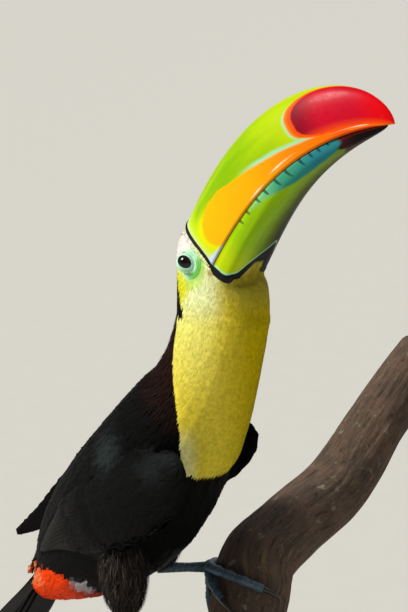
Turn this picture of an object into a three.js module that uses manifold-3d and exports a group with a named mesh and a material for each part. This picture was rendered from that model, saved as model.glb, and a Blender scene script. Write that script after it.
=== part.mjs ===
// A keel-billed toucan gripping a short length of branch, life size, as a still museum model
// on a plain stand. Millimetres, +Z up. The bird faces -Y with its bill raised, its left side
// towards +X. The origin is the centre of the stand's underside.
import * as THREE from "three";
import { mergeVertices } from "three/addons/utils/BufferGeometryUtils.js";
import Module from "manifold-3d";

const wasm = await Module();
wasm.setup();

// ---------------------------------------------------------------- driving dimensions

const GAP = 0.3; // clearance between touching pieces
const RIGHT = -1; // sign of X on the bird's right side
const LEFT = 1;

// The bird and its perch are drawn around the middle of the bill's root, which stands here.
const BILL_ROOT = new THREE.Vector3(-25, -52, 372);

// How the bill and face are turned: raised, looking a little to the left, tipped to the right.
const HEAD_TURN = { yaw: 4.7, pitch: 58.3, roll: 5.4 };

// The bill, in its own frame: X forward along the root's axis, Y to the left, Z up.
// Its depths are measured from the cutting edge, where the two halves meet.
const BILL = {
  length: 137, // along the cutting edge
  droop: 0.934, // radians that the cutting edge turns down on its way to the tip
  droopPower: 1.59, // above 1 the turn is gathered towards the tip
  upperDepth: 34.1,
  upperSwell: 0.243, // how much deeper the upper half is by mid length
  lowerDepth: 12.8,
  halfWidth: 19.4,
  lowerWidth: 0.97, // the lower half is this much of the upper half's width
  lowerReach: 0.97, // and ends this far along it, inside the hooked tip
  collar: 2.6, // black rim of skin between the bill and the face
};

const EYE = { back: 8.4, side: 18.4, up: 15.4, radius: 5.6 };

// Cross-sections of head, neck and trunk from the bill's root to the vent: a point on the
// back and one on the underside, each [y, z], and the half width between them.
const BODY = [
  { back: [28.6, 18], belly: [-11.2, -7.2], half: 19.6 },
  { back: [33.5, 9], belly: [-14.5, -12.8], half: 20.6 },
  { back: [34.5, -3], belly: [-18, -20], half: 21.6 },
  { back: [36, -33], belly: [-18, -43], half: 24 },
  { back: [47, -58], belly: [-8.5, -75], half: 27.5 },
  { back: [66.5, -77], belly: [5.5, -106], half: 36 },
  { back: [92, -101.5], belly: [23, -143.5], half: 40.3 },
  { back: [123, -131.5], belly: [46.5, -178.5], half: 37 },
  { back: [148.5, -163.5], belly: [90, -209], half: 27.5 },
  { back: [163, -195], belly: [138, -228], half: 17 },
  { back: [170, -209], belly: [158, -232], half: 12 },
];
const HEAD_END = 2.7; // section numbers at which the body is parted
const NECK_END = 4.6;
const TRUNK_END = 8.75;
const TURN_FADES = [0.5, 3.45]; // the head's turn fades out between these sections
const CHIN_FADES = [0, 2.5]; // and the chin's boxy underside between these

// The yellow bib: from the cheeks down to a blunt point on the breast.
const BIB = { shoulders: -92, tip: -127, halfWidth: 33, thickness: 3, proud: 0.8 };
// Its rear edge in the side view, from behind the cheek down the side of the neck [y, z].
const BIB_EDGE = [[27, -18], [22, -50], [15, -80], [15, -104], [27, -138]];

// Each folded wing: its bend and the tip of its longest quill, drooping on the right side;
// above and below are how far it spreads to either side of the line from bend to tip.
const WINGS = {
  right: { side: RIGHT, bend: [-40, -1, -106], tip: [-25, 140, -192], above: 18, below: 27 },
  left: { side: LEFT, bend: [39, 12, -106], tip: [11, 202, -202], above: 35, below: 21 },
};
const WING = {
  thickAtBend: 12,
  thickAtTip: 2.4,
  bow: 13, // how far it bulges round the body by mid length
  wrap: 42, // radius that it curls round the body, from edge to edge
  sunk: 2.4, // how far it is set into the body's side
};
const WING_PART = 0.52; // where the coverts end and the quills begin

const TAIL = {
  root: [143.5, -193], // where the quills leave the rump [y, z]
  length: 165,
  slope: 48, // degrees below the horizontal
  rootHalf: 15,
  endHalf: 27,
  rootThick: 9,
  endThick: 2.4,
  rounding: 30, // how much shorter the outer quills are
  arch: 5, // how far the side edges droop
};

// Legs, relative to the bill's root: knee inside the trunk, heel, and the palm of the foot.
// headings turn each toe away from straight round the perch, towards its high end, in degrees.
const LEGS = {
  right: {
    knee: [-22, 68, -158],
    heel: [-26, 60, -214],
    palm: [-17, 40, -247],
    headings: { outer_front: -14, inner_front: 16, outer_back: -22, inner_back: 14 },
  },
  left: {
    knee: [20, 78, -160],
    heel: [25, 87, -201],
    palm: [49, 58, -199.5],
    headings: { outer_front: -12, inner_front: -38, outer_back: 18, inner_back: -62 },
  },
};
const THIGH = { middle: 15, bottom: 5.5 };
const SHANK = { top: 3.6, middle: 2.9, bottom: 3.9 };
// Toes in pairs, two forward and two back, with their lengths without the claw.
const FORWARD = 1; // ways round the perch
const BACKWARD = -1;
const TOES = [
  { name: "outer_front", length: 54, turn: FORWARD, thick: 3.4 },
  { name: "inner_front", length: 36, turn: FORWARD, thick: 3.1 },
  { name: "outer_back", length: 34, turn: BACKWARD, thick: 3.2 },
  { name: "inner_back", length: 24, turn: BACKWARD, thick: 2.9 },
];
const TOE_CLEAR = 0.9; // from a toe's underside to the branch, over its knots
const TOE_TAPER = 0.72; // a toe's end is this much of its root
const TOE_PAD = { height: 0.3, length: 10 };
const CLAW = { length: 13, root: 2.2, taper: 0.97, tipLift: 3 };

// The perch's centre line, relative to the bill's root, from its low cut end to its high one.
const PERCH = [
  [-64, 15, -300],
  [-8, 28, -268],
  [42, 34, -240],
  [57, 39, -214],
  [66, 42, -196],
  [98, 44, -181],
  [144, 46, -164],
  [185, 48, -131],
  [236, 51, -94],
];
const PERCH_RADIUS = { low: 21.5, middle: 23.5, high: 18.2 };

const BASE = { width: 230, depth: 190, height: 14, corner: 28 };
const RODS = [
  { name: "stand_rod_low", x: -16, y: -14, radius: 5 },
  { name: "stand_rod_high", x: 42, y: -6, radius: 5 },
];

// How finely each shape is faceted: round it, then along it.
const FACETS = {
  upperBill: [16, 13],
  lowerBill: [16, 11],
  collar: [20, 1],
  eye: [11, 8],
  body: [24, 19],
  wing: [14, 12],
  tail: [14, 9],
  thigh: [12, 6],
  shank: [8, 4],
  toe: [7, 8],
  claw: [5, 4],
  perch: [12, 18],
  rod: [14, 1],
};
const CURVE_FACETS = 6; // on each bend of a flat outline

// ---------------------------------------------------------------- helpers

const degrees = THREE.MathUtils.degToRad;
const point = ([x, y, z]) => new THREE.Vector3(x, y, z);
const mix = (a, b, share) => a + (b - a) * share;
const smooth = THREE.MathUtils.smoothstep;

// A closed three.js geometry as a manifold solid: shared corners merged, slivers dropped.
function solidOf(geometry) {
  const bare = new THREE.BufferGeometry();
  bare.setAttribute("position", geometry.getAttribute("position"));
  bare.setIndex(geometry.getIndex());
  const merged = mergeVertices(bare, 1e-3);
  const corners = merged.getIndex().array;
  const kept = [];
  for (let i = 0; i < corners.length; i += 3) {
    const [a, b, c] = corners.slice(i, i + 3);
    if (a !== b && b !== c && c !== a) kept.push(a, b, c);
  }
  const make = (triangles) =>
    new wasm.Manifold(
      new wasm.Mesh({
        numProp: 3,
        vertProperties: Float32Array.from(merged.getAttribute("position").array),
        triVerts: Uint32Array.from(triangles),
      }),
    );
  const solid = make(kept);
  return solid.volume() > 0 ? solid : make(kept.reverse());
}

// The largest body of a solid, as a three.js geometry with flat facets.
function geometryOf(solid) {
  const bodies = solid.decompose();
  bodies.sort((a, b) => b.volume() - a.volume());
  const mesh = bodies[0].getMesh();
  const geometry = new THREE.BufferGeometry();
  const positions = new Float32Array(mesh.numVert * 3);
  for (let i = 0; i < mesh.numVert; i++)
    positions.set(mesh.vertProperties.subarray(i * mesh.numProp, i * mesh.numProp + 3), i * 3);
  geometry.setAttribute("position", new THREE.BufferAttribute(positions, 3));
  geometry.setIndex(new THREE.BufferAttribute(mesh.triVerts, 1));
  geometry.computeVertexNormals();
  return geometry;
}

// A capped tube of any shape: place(along, across, up) gets a point of the unit cylinder,
// along from 0 to 1 and the other two inside the unit circle, and returns where it goes.
function shaped([sides, steps], place) {
  const geometry = new THREE.CylinderGeometry(1, 1, 1, sides, steps);
  const at = geometry.getAttribute("position");
  for (let i = 0; i < at.count; i++) {
    const to = place(at.getY(i) + 0.5, at.getX(i), at.getZ(i));
    at.setXYZ(i, to.x, to.y, to.z);
  }
  return solidOf(geometry);
}

// A round tube along a curve with a radius that changes along it. Its rings stay upright to
// the curve and are turned to a fixed side so that they don't twist.
function tube(curve, facets, radius, side = new THREE.Vector3(0, 0, 1)) {
  return shaped(facets, (along, across, up) => {
    const tangent = curve.getTangentAt(along);
    const first = new THREE.Vector3().crossVectors(tangent, side).normalize();
    const second = new THREE.Vector3().crossVectors(first, tangent);
    const size = radius(along, Math.atan2(up, across));
    return curve.getPointAt(along).addScaledVector(first, across * size).addScaledVector(second, up * size);
  });
}

// The part of a solid on the far side of a plane through a point.
const beyond = (solid, through, normal) => {
  const unit = normal.clone().normalize();
  return solid.trimByPlane(unit.toArray(), unit.dot(through));
};

// ---------------------------------------------------------------- head frame

const headMatrix = new THREE.Matrix4()
  .makeRotationZ(degrees(HEAD_TURN.yaw))
  .multiply(
    new THREE.Matrix4().makeBasis(
      new THREE.Vector3(0, -1, 0),
      new THREE.Vector3(1, 0, 0),
      new THREE.Vector3(0, 0, 1),
    ),
  )
  .multiply(new THREE.Matrix4().makeRotationY(degrees(-HEAD_TURN.pitch)))
  .multiply(new THREE.Matrix4().makeRotationX(degrees(HEAD_TURN.roll)));
const headForward = new THREE.Vector3(
  0,
  -Math.cos(degrees(HEAD_TURN.pitch)),
  Math.sin(degrees(HEAD_TURN.pitch)),
);
const fullTurn = new THREE.Quaternion()
  .setFromAxisAngle(new THREE.Vector3(0, 0, 1), degrees(HEAD_TURN.yaw))
  .multiply(new THREE.Quaternion().setFromAxisAngle(headForward, degrees(HEAD_TURN.roll)));

// ---------------------------------------------------------------- bill

// Points of the cutting edge in the bill's side plane, added up in short steps.
const EDGE_STEPS = 200;
const cuttingEdge = [new THREE.Vector2(0, 0)];
for (let i = 0; i < EDGE_STEPS; i++) {
  const turned = -BILL.droop * ((i + 0.5) / EDGE_STEPS) ** BILL.droopPower;
  const step = new THREE.Vector2(Math.cos(turned), Math.sin(turned));
  cuttingEdge.push(cuttingEdge[i].clone().addScaledVector(step, BILL.length / EDGE_STEPS));
}

function billSection(along) {
  const place = Math.min(along, 1) * EDGE_STEPS;
  const before = Math.min(Math.floor(place), EDGE_STEPS - 1);
  const at = cuttingEdge[before].clone().lerp(cuttingEdge[before + 1], place - before);
  const turned = -BILL.droop * along ** BILL.droopPower;
  const up = new THREE.Vector2(-Math.sin(turned), Math.cos(turned));
  return { at, up };
}

const fade = (along, power, root) => Math.max(0, 1 - along ** power) ** root;
const billHalf = (along) => BILL.halfWidth * fade(along, 1.9, 0.75) + (1 - along);

// along is gathered towards the tip, where the bill curves most.
const gathered = (along) => 1 - (1 - along) ** 1.35;

function upperBill() {
  return shaped(FACETS.upperBill, (raw, across, height) => {
    const along = gathered(raw);
    const { at, up } = billSection(along);
    const depth =
      BILL.upperDepth * (1 + BILL.upperSwell * along) * fade(along, 3.2, 0.62);
    const middle = depth * 0.3;
    const reach = Math.hypot(across, height);
    const rise = reach ? mix(middle, Math.max(height / reach, 0) * depth, reach) : middle;
    const out = GAP / 2 + rise;
    return new THREE.Vector3(at.x + up.x * out, across * billHalf(along), at.y + up.y * out);
  });
}

// The lower half is boxy at its root, with sharp lower corners, and rounds off forwards.
const boxy = (value, power) => Math.sign(value) * Math.abs(value) ** power;

function lowerBill() {
  return shaped(FACETS.lowerBill, (raw, across, height) => {
    const along = gathered(raw) * BILL.lowerReach;
    const { at, up } = billSection(along);
    const share = along / BILL.lowerReach;
    const power = mix(0.3, 0.62, smooth(along, 0, 0.6));
    const depth = BILL.lowerDepth * (1 - 0.25 * along) * fade(share, 4, 0.6);
    const half = billHalf(along) * BILL.lowerWidth * fade(share, 9, 0.5);
    const reach = Math.hypot(across, height);
    const down = reach ? boxy(Math.max(height, 0), power) : 0.4;
    return new THREE.Vector3(
      at.x - up.x * (GAP / 2 + down * depth),
      boxy(across, power) * half,
      at.y - up.y * (GAP / 2 + down * depth),
    );
  });
}

// The black rim, one slice of the whole bill's outline behind its root.
function collarSolid() {
  const half = billHalf(0);
  return shaped(FACETS.collar, (along, across, height) => {
    const under = height < 0;
    const out = under ? boxy(height, 0.3) * BILL.lowerDepth : height * BILL.upperDepth;
    const side = under ? boxy(across, 0.3) : across;
    return new THREE.Vector3(-GAP - along * BILL.collar, side * half, out);
  });
}

// ---------------------------------------------------------------- head, neck and trunk

const backLine = new THREE.CatmullRomCurve3(
  BODY.map(({ back, half }) => new THREE.Vector3(half, back[0], back[1])),
);
const bellyLine = new THREE.CatmullRomCurve3(
  BODY.map(({ belly, half }) => new THREE.Vector3(half, belly[0], belly[1])),
);
const LAST = BODY.length - 1;

function bodySection(number) {
  const back = backLine.getPoint(number / LAST);
  const belly = bellyLine.getPoint(number / LAST);
  const half = back.x;
  back.x = 0;
  belly.x = 0;
  const middle = back.clone().add(belly).multiplyScalar(0.5);
  return { middle, rise: back.sub(middle), half };
}

// The face turns with the bill, and the turn fades out down the neck.
function turnedWithHead(at, number) {
  const share = 1 - smooth(number, ...TURN_FADES);
  const turn = new THREE.Quaternion().slerp(fullTurn, share);
  return at.applyQuaternion(turn);
}

// The body's surface grown outwards by grow(number), a negative number for a core.
function bodySolid(grow) {
  return shaped(FACETS.body, (along, across, up) => {
    const number = (1 - along) * LAST;
    const { middle, rise, half } = bodySection(number);
    const extra = grow(number);
    const depth = rise.length();
    const chin = up < 0 ? mix(0.55, 1, smooth(number, ...CHIN_FADES)) : 1;
    const at = middle.addScaledVector(rise, (boxy(up, chin) * (depth + extra)) / depth);
    at.x = boxy(across, chin) * (half + extra);
    return turnedWithHead(at, number);
  });
}

const sectionPlane = (number) => {
  const here = bodySection(number).middle;
  const next = bodySection(number + 0.05).middle;
  return { here, normal: next.sub(here).normalize() };
};

// The stretch of a solid between two of the body's sections, a gap back from each.
function stretch(solid, from, to) {
  let kept = solid;
  if (from !== null) {
    const { here, normal } = sectionPlane(from);
    kept = beyond(kept, here.clone().addScaledVector(normal, GAP / 2), normal);
  }
  if (to !== null) {
    const { here, normal } = sectionPlane(to);
    kept = beyond(kept, here.clone().addScaledVector(normal, -GAP / 2), normal.clone().negate());
  }
  return kept;
}

// ---------------------------------------------------------------- wings, bib and tail

// A flat outline pushed out along a direction: right and up are where its x and y point.
function prism(outline, right, up, depth) {
  const geometry = new THREE.ExtrudeGeometry(outline, { depth, bevelEnabled: false, curveSegments: CURVE_FACETS });
  const out = new THREE.Vector3().crossVectors(right, up);
  return solidOf(geometry.applyMatrix4(new THREE.Matrix4().makeBasis(right, up, out)));
}

// A folded wing: a bowed blade with a blunt front at the bend, curled round the body.
function wingSolid({ side, bend, tip, above, below }, grow) {
  const from = point(bend);
  const span = point(tip).sub(from);
  const length = span.length();
  const axis = span.clone().normalize();
  const outward = new THREE.Vector3(side, 0, 0).addScaledVector(axis, -side * axis.x).normalize();
  const backward = new THREE.Vector3().crossVectors(outward, axis).multiplyScalar(side);
  const nose = (share, reach) => Math.sqrt(1 - (1 - Math.min(share / reach, 1)) ** 2);
  return shaped(FACETS.wing, (raw, across, up) => {
    const along = raw ** 1.4;
    const top = above * nose(along, 0.3) * (1 - 0.94 * smooth(along, 0.62, 1.08));
    const bottom = below * nose(along, 0.25) * (1 - 0.96 * smooth(along, 0.35, 1.05));
    const half = (top + bottom) / 2 + grow;
    const high = across * half + (top - bottom) / 2;
    const thick = mix(WING.thickAtBend, WING.thickAtTip, Math.sqrt(along)) * nose(along, 0.12);
    const bulge = WING.bow * Math.sin(Math.PI * along) - (across * half) ** 2 / (2 * WING.wrap);
    const out = bulge + up * (thick / 2 + grow);
    return from
      .clone()
      .addScaledVector(axis, along * length + grow * (2 * along - 1))
      .addScaledVector(backward, high)
      .addScaledVector(outward, out - WING.sunk);
  });
}

// The bib's outline from the front, and the side view's limit on how far back it reaches.
function bibFront(grow) {
  const { shoulders, tip, halfWidth } = BIB;
  const half = halfWidth + grow;
  const low = tip - grow;
  const shape = new THREE.Shape();
  shape.moveTo(-half, 0);
  shape.lineTo(half, 0);
  shape.lineTo(half, shoulders);
  shape.bezierCurveTo(half, mix(shoulders, low, 0.55), half * 0.5, low, 0, low);
  shape.bezierCurveTo(-half * 0.5, low, -half, mix(shoulders, low, 0.55), -half, shoulders);
  return prism(shape, new THREE.Vector3(1, 0, 0), new THREE.Vector3(0, 0, 1), 100).translate([0, 60, 0]);
}

function bibSide(grow) {
  const shape = new THREE.Shape();
  const edge = BIB_EDGE.map(([y, z]) => new THREE.Vector2(y + grow, z));
  shape.moveTo(-80, 0);
  shape.lineTo(edge[0].x + 4, 0);
  shape.lineTo(edge[0].x, edge[0].y);
  shape.splineThru(edge.slice(1));
  shape.lineTo(-80, BIB_EDGE.at(-1)[1]);
  return prism(shape, new THREE.Vector3(0, 1, 0), new THREE.Vector3(0, 0, 1), 100).translate([-50, 0, 0]);
}

const bibShell = (extra) => bodySolid(() => BIB.proud + extra);

function bibSolid() {
  const outline = bibFront(0).intersect(bibSide(0));
  return stretch(bibShell(0).intersect(outline).subtract(bibShell(-BIB.thickness)), HEAD_END, null);
}

function bibRoom() {
  const room = bibFront(GAP).intersect(bibSide(GAP)).subtract(bibShell(-BIB.thickness - GAP));
  return stretch(room, HEAD_END - 0.02, null);
}

const tailAxis = new THREE.Vector3(0, Math.cos(degrees(TAIL.slope)), -Math.sin(degrees(TAIL.slope)));
const tailUp = new THREE.Vector3(0, Math.sin(degrees(TAIL.slope)), Math.cos(degrees(TAIL.slope)));

// The closed tail: a shallow arch of stacked quills with a rounded end.
function tailSolid(grow) {
  return shaped(FACETS.tail, (along, across, up) => {
    const edge = Math.abs(across);
    const rounding = TAIL.rounding * (1 - Math.sqrt(Math.max(0, 1 - (edge * 0.94) ** 2)));
    const out = along * (TAIL.length - rounding * along ** 3) + grow * (2 * along - 1);
    const half = mix(TAIL.rootHalf, TAIL.endHalf, smooth(along, 0, 0.75)) + grow;
    const thick = mix(TAIL.rootThick, TAIL.endThick, Math.sqrt(along)) + 2 * grow;
    const arch = -TAIL.arch * across * across * along;
    return new THREE.Vector3(across * half, 0, 0)
      .add(new THREE.Vector3(0, ...TAIL.root))
      .addScaledVector(tailAxis, out)
      .addScaledVector(tailUp, (up * thick) / 2 + arch);
  });
}

// ---------------------------------------------------------------- perch

const perchLine = new THREE.CatmullRomCurve3(PERCH.map(point));

function perchRadius(along) {
  const { low, middle, high } = PERCH_RADIUS;
  return along < 0.4 ? mix(low, middle, along / 0.4) : mix(middle, high, (along - 0.4) / 0.6);
}

function perchSolid(grow) {
  return tube(perchLine, FACETS.perch, (along, angle) => {
    const knots = 0.5 * Math.sin(3 * angle + 9 * along) + 0.4 * Math.sin(2 * angle - 23 * along);
    return perchRadius(along) + knots + grow;
  });
}

// The point of the perch's centre line nearest to a place, with the line's direction there.
// Each round of the search looks closer round the best point of the one before.
function perchNear(place) {
  const away = (along) => perchLine.getPointAt(along).distanceToSquared(place);
  let best = 0.5;
  for (const reach of [0.5, 0.01, 0.0002]) {
    const middle = best;
    for (let i = -50; i <= 50; i++) {
      const along = THREE.MathUtils.clamp(middle + (i / 50) * reach, 0, 1);
      if (away(along) < away(best)) best = along;
    }
  }
  return { along: best, centre: perchLine.getPointAt(best), axis: perchLine.getTangentAt(best) };
}

// ---------------------------------------------------------------- legs and feet

const GRIP_STEPS = 8; // points on the path of a toe or claw

function legCurve(from, to) {
  return new THREE.LineCurve3(point(from), point(to));
}

function thighSolid({ knee, heel }, grow) {
  return tube(
    legCurve(knee, heel),
    FACETS.thigh,
    (along) => {
      const swell = Math.sin(Math.PI * (0.14 + 0.8 * along));
      return mix(THIGH.bottom, THIGH.middle, swell) * (1 - 0.4 * smooth(along, 0.92, 1)) + grow;
    },
    new THREE.Vector3(1, 0, 0),
  );
}

function shankSolid({ heel, palm }, grow) {
  return tube(
    legCurve(heel, palm),
    FACETS.shank,
    (along) =>
      along < 0.5
        ? mix(SHANK.top, SHANK.middle, along * 2) + grow
        : mix(SHANK.middle, SHANK.bottom, along * 2 - 1) + grow,
    new THREE.Vector3(1, 0, 0),
  );
}

// A path that starts at the palm and hugs the perch, straight on its unrolled surface.
// lift(share) is how far its centre line stays off the perch.
function gripPath(palm, { turn, heading, from, to, lift }) {
  const { centre, axis, along } = perchNear(palm);
  const outward = palm.clone().sub(centre);
  outward.addScaledVector(axis, -outward.dot(axis)).normalize();
  const sideways = new THREE.Vector3().crossVectors(axis, outward);
  const surface = perchRadius(along);
  const points = [];
  for (let i = 0; i <= GRIP_STEPS; i++) {
    const share = i / GRIP_STEPS;
    const out = mix(from, to, share);
    const radius = surface + lift(share);
    const angle = (turn * out * Math.cos(degrees(heading))) / (surface + lift(0));
    const drift = out * Math.sin(degrees(heading));
    const spot = perchNear(centre.clone().addScaledVector(axis, drift));
    points.push(
      spot.centre
        .clone()
        .addScaledVector(outward, Math.cos(angle) * radius)
        .addScaledVector(sideways, Math.sin(angle) * radius),
    );
  }
  return new THREE.CatmullRomCurve3(points);
}

const toeLift = (thick) => thick + TOE_CLEAR;

function toePath(palm, { length, turn, thick }, heading) {
  return gripPath(palm, { turn, heading, from: 1, to: length, lift: () => toeLift(thick) });
}

function toeSolid(palm, toe, heading, grow) {
  return tube(toePath(palm, toe, heading), FACETS.toe, (along) => {
    const pads = TOE_PAD.height * Math.cos((2 * Math.PI * along * toe.length) / TOE_PAD.length);
    return mix(toe.thick, toe.thick * TOE_TAPER, along) + pads + grow;
  });
}

// The claw carries the toe's line on, and its point comes down to the bark.
function clawSolid(palm, toe, heading) {
  const path = gripPath(palm, {
    turn: toe.turn,
    heading,
    from: toe.length + GAP,
    to: toe.length + CLAW.length,
    lift: (share) => mix(toeLift(toe.thick), CLAW.tipLift, share ** 2),
  });
  return tube(path, FACETS.claw, (along) => CLAW.root * Math.sqrt(1 - along * CLAW.taper));
}

// ---------------------------------------------------------------- materials

const finish = (color, roughness, metalness = 0) =>
  new THREE.MeshStandardMaterial({ color, roughness, metalness, flatShading: true });
const black = finish(0x0c0d10, 0.55);
const sooty = finish(0x1b1614, 0.7);
const yellow = finish(0xe6d24a, 0.75);
const red = finish(0xe2401c, 0.7);
const white = finish(0xe9e6dc, 0.75);
const greenFace = finish(0xa9c98a, 0.6);
const lime = finish(0x9ec41f, 0.3);
const leaf = finish(0x7fae2c, 0.3);
const horn = finish(0x1a1c20, 0.35);
const scaly = finish(0x55707c, 0.6);
const wet = finish(0x120b08, 0.05);
const bark = finish(0x6b5346, 0.9);
const lacquer = finish(0x2a2a2c, 0.45);
const steel = finish(0x8f9194, 0.35, 0.9);

// ---------------------------------------------------------------- assembly

const toucan = new THREE.Group();
const bird = new THREE.Group(); // everything drawn around the bill's root
bird.position.copy(BILL_ROOT);
const head = new THREE.Group(); // the bill and eyes, in the bill's frame
head.setRotationFromMatrix(headMatrix);
bird.add(head);
toucan.add(bird);

function add(parent, name, solid, material) {
  const mesh = new THREE.Mesh(geometryOf(solid), material);
  mesh.name = name;
  parent.add(mesh);
  return mesh;
}

const intoBird = (solid) => solid.transform(headMatrix.elements);

// Bill
add(head, "bill_upper", upperBill(), lime);
add(head, "bill_lower", lowerBill(), leaf);
add(head, "bill_collar", collarSolid(), horn);

// Eyes, each a ball sunk in the side of the face
const eyeBall = (side, grow) => {
  const ball = new THREE.SphereGeometry(EYE.radius + grow, ...FACETS.eye);
  ball.translate(-EYE.back, side * EYE.side, EYE.up);
  return solidOf(ball);
};
for (const [name, side] of [["eye_right", RIGHT], ["eye_left", LEFT]])
  add(head, name, eyeBall(side, 0), wet);

// Flesh: one body, from which the wings, bib, legs and tail take their room
let flesh = bodySolid(() => 0);
const faceSide = headForward.clone().applyQuaternion(fullTurn);
flesh = beyond(flesh, faceSide.clone().multiplyScalar(-BILL.collar - 2 * GAP), faceSide.clone().negate());
for (const side of [RIGHT, LEFT]) flesh = flesh.subtract(intoBird(eyeBall(side, GAP)));

let bib = bibSolid();
flesh = flesh.subtract(bibRoom());
const wingRooms = Object.values(WINGS).map((wing) => wingSolid(wing, GAP));
for (const room of wingRooms) {
  flesh = flesh.subtract(room);
  bib = bib.subtract(room);
}

const tail = tailSolid(0);
const tailRoom = tailSolid(GAP);
const perch = perchSolid(0);
const perchRoom = perchSolid(GAP);

add(bird, "head", stretch(flesh, null, HEAD_END), greenFace);
add(bird, "neck", stretch(flesh, HEAD_END, NECK_END), sooty);
add(bird, "throat_bib", bib, yellow);

// The rump beyond the trunk parts into coverts above and below the tail's quills.
const rump = stretch(flesh, TRUNK_END, null).subtract(tailRoom);
const tailRoot = new THREE.Vector3(0, ...TAIL.root);
add(
  bird,
  "uppertail_coverts",
  beyond(rump, tailRoot.clone().addScaledVector(tailUp, GAP / 2), tailUp),
  white,
);
add(
  bird,
  "undertail_coverts",
  beyond(rump, tailRoot.clone().addScaledVector(tailUp, -GAP / 2), tailUp.clone().negate()),
  red,
);
add(bird, "tail", tail, black);

let trunk = stretch(flesh, NECK_END, TRUNK_END).subtract(tailRoom);
for (const leg of Object.values(LEGS))
  trunk = trunk.subtract(thighSolid(leg, GAP)).subtract(shankSolid(leg, GAP));
add(bird, "trunk", trunk, black);

for (const [name, wing] of Object.entries(WINGS)) {
  const solid = wingSolid(wing, 0);
  const middle = point(wing.bend).lerp(point(wing.tip), WING_PART);
  const axis = point(wing.tip).sub(point(wing.bend)).normalize();
  const before = middle.clone().addScaledVector(axis, -GAP / 2);
  const after = middle.clone().addScaledVector(axis, GAP / 2);
  add(bird, "wing_" + name + "_coverts", beyond(solid, before, axis.clone().negate()), black);
  add(bird, "wing_" + name + "_quills", beyond(solid, after, axis), black);
}

// Legs, with each piece cut clear of the wings and of the one it grows from
for (const [name, leg] of Object.entries(LEGS)) {
  const palm = point(leg.palm);
  const shank = shankSolid(leg, 0).subtract(perchRoom);
  const shankRoom = shankSolid(leg, GAP);
  let thigh = thighSolid(leg, 0).subtract(shankRoom);
  for (const room of wingRooms) thigh = thigh.subtract(room);
  add(bird, "thigh_" + name, thigh, sooty);
  add(bird, "shank_" + name, shank, scaly);
  let taken = shankRoom.add(perchRoom);
  for (const toe of TOES) {
    const heading = leg.headings[toe.name];
    add(bird, "toe_" + toe.name + "_" + name, toeSolid(palm, toe, heading, 0).subtract(taken), scaly);
    taken = taken.add(toeSolid(palm, toe, heading, GAP));
    add(bird, "claw_" + toe.name + "_" + name, clawSolid(palm, toe, heading).subtract(shankRoom), horn);
  }
}

// ---------------------------------------------------------------- stand

const perchRoomInStand = perchRoom.translate(BILL_ROOT.toArray());

function baseSolid() {
  const { width, depth, height, corner } = BASE;
  const shape = new THREE.Shape();
  const x = width / 2;
  const y = depth / 2;
  shape.moveTo(-x + corner, -y);
  shape.lineTo(x - corner, -y);
  shape.absarc(x - corner, -y + corner, corner, -Math.PI / 2, 0);
  shape.lineTo(x, y - corner);
  shape.absarc(x - corner, y - corner, corner, 0, Math.PI / 2);
  shape.lineTo(-x + corner, y);
  shape.absarc(-x + corner, y - corner, corner, Math.PI / 2, Math.PI);
  shape.lineTo(-x, -y + corner);
  shape.absarc(-x + corner, -y + corner, corner, Math.PI, 1.5 * Math.PI);
  return solidOf(
    new THREE.ExtrudeGeometry(shape, { depth: height, bevelEnabled: false, curveSegments: CURVE_FACETS }),
  );
}

add(toucan, "stand_base", baseSolid(), lacquer);
for (const { name, x, y, radius } of RODS) {
  const from = new THREE.Vector3(x, y, BASE.height + GAP);
  const to = new THREE.Vector3(x, y, BILL_ROOT.z);
  const rod = tube(new THREE.LineCurve3(from, to), FACETS.rod, () => radius, new THREE.Vector3(1, 0, 0));
  const below = rod.subtract(perchRoomInStand).decompose();
  below.sort((a, b) => a.boundingBox().min[2] - b.boundingBox().min[2]);
  add(toucan, name, below[0], steel);
}
add(bird, "perch", perch, bark);

export default toucan;
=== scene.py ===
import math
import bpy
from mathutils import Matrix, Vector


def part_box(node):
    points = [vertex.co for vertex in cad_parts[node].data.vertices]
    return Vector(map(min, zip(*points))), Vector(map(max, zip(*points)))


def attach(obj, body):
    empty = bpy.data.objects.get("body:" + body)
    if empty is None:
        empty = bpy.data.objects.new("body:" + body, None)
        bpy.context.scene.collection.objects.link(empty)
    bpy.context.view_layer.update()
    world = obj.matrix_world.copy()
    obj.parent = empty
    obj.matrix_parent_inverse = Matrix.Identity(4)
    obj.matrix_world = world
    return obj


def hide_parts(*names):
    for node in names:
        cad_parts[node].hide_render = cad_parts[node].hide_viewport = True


bl_info = {
    "name": "Toucan on a perch",
    "version": (1, 0, 0),
    "blender": (4, 5, 0),
    "location": "View3D > Sidebar > Toucan",
    "description": "Builds a life-size keel-billed toucan on a cut branch, around its packed solids",
    "category": "Add Mesh",
}

import bmesh
import bpy
import numpy as np
from mathutils import Matrix, Quaternion, Vector, noise
from mathutils.bvhtree import BVHTree

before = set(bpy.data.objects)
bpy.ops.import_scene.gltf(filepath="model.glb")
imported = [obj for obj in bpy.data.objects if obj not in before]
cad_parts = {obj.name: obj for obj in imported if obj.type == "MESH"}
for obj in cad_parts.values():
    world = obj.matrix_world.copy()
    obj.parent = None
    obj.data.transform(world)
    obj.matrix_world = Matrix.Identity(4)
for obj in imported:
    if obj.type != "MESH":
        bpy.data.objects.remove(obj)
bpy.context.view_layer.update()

# ------------------------------------------------------------------ sizes shared with the solids
# Metres. The bird and its perch are drawn around the middle of the bill's root.

MM = 0.001
GAP = 0.3 * MM
BILL_ROOT = np.array([-25, -52, 372]) * MM
HEAD_TURN = {"yaw": 4.7, "pitch": 58.3, "roll": 5.4}

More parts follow.
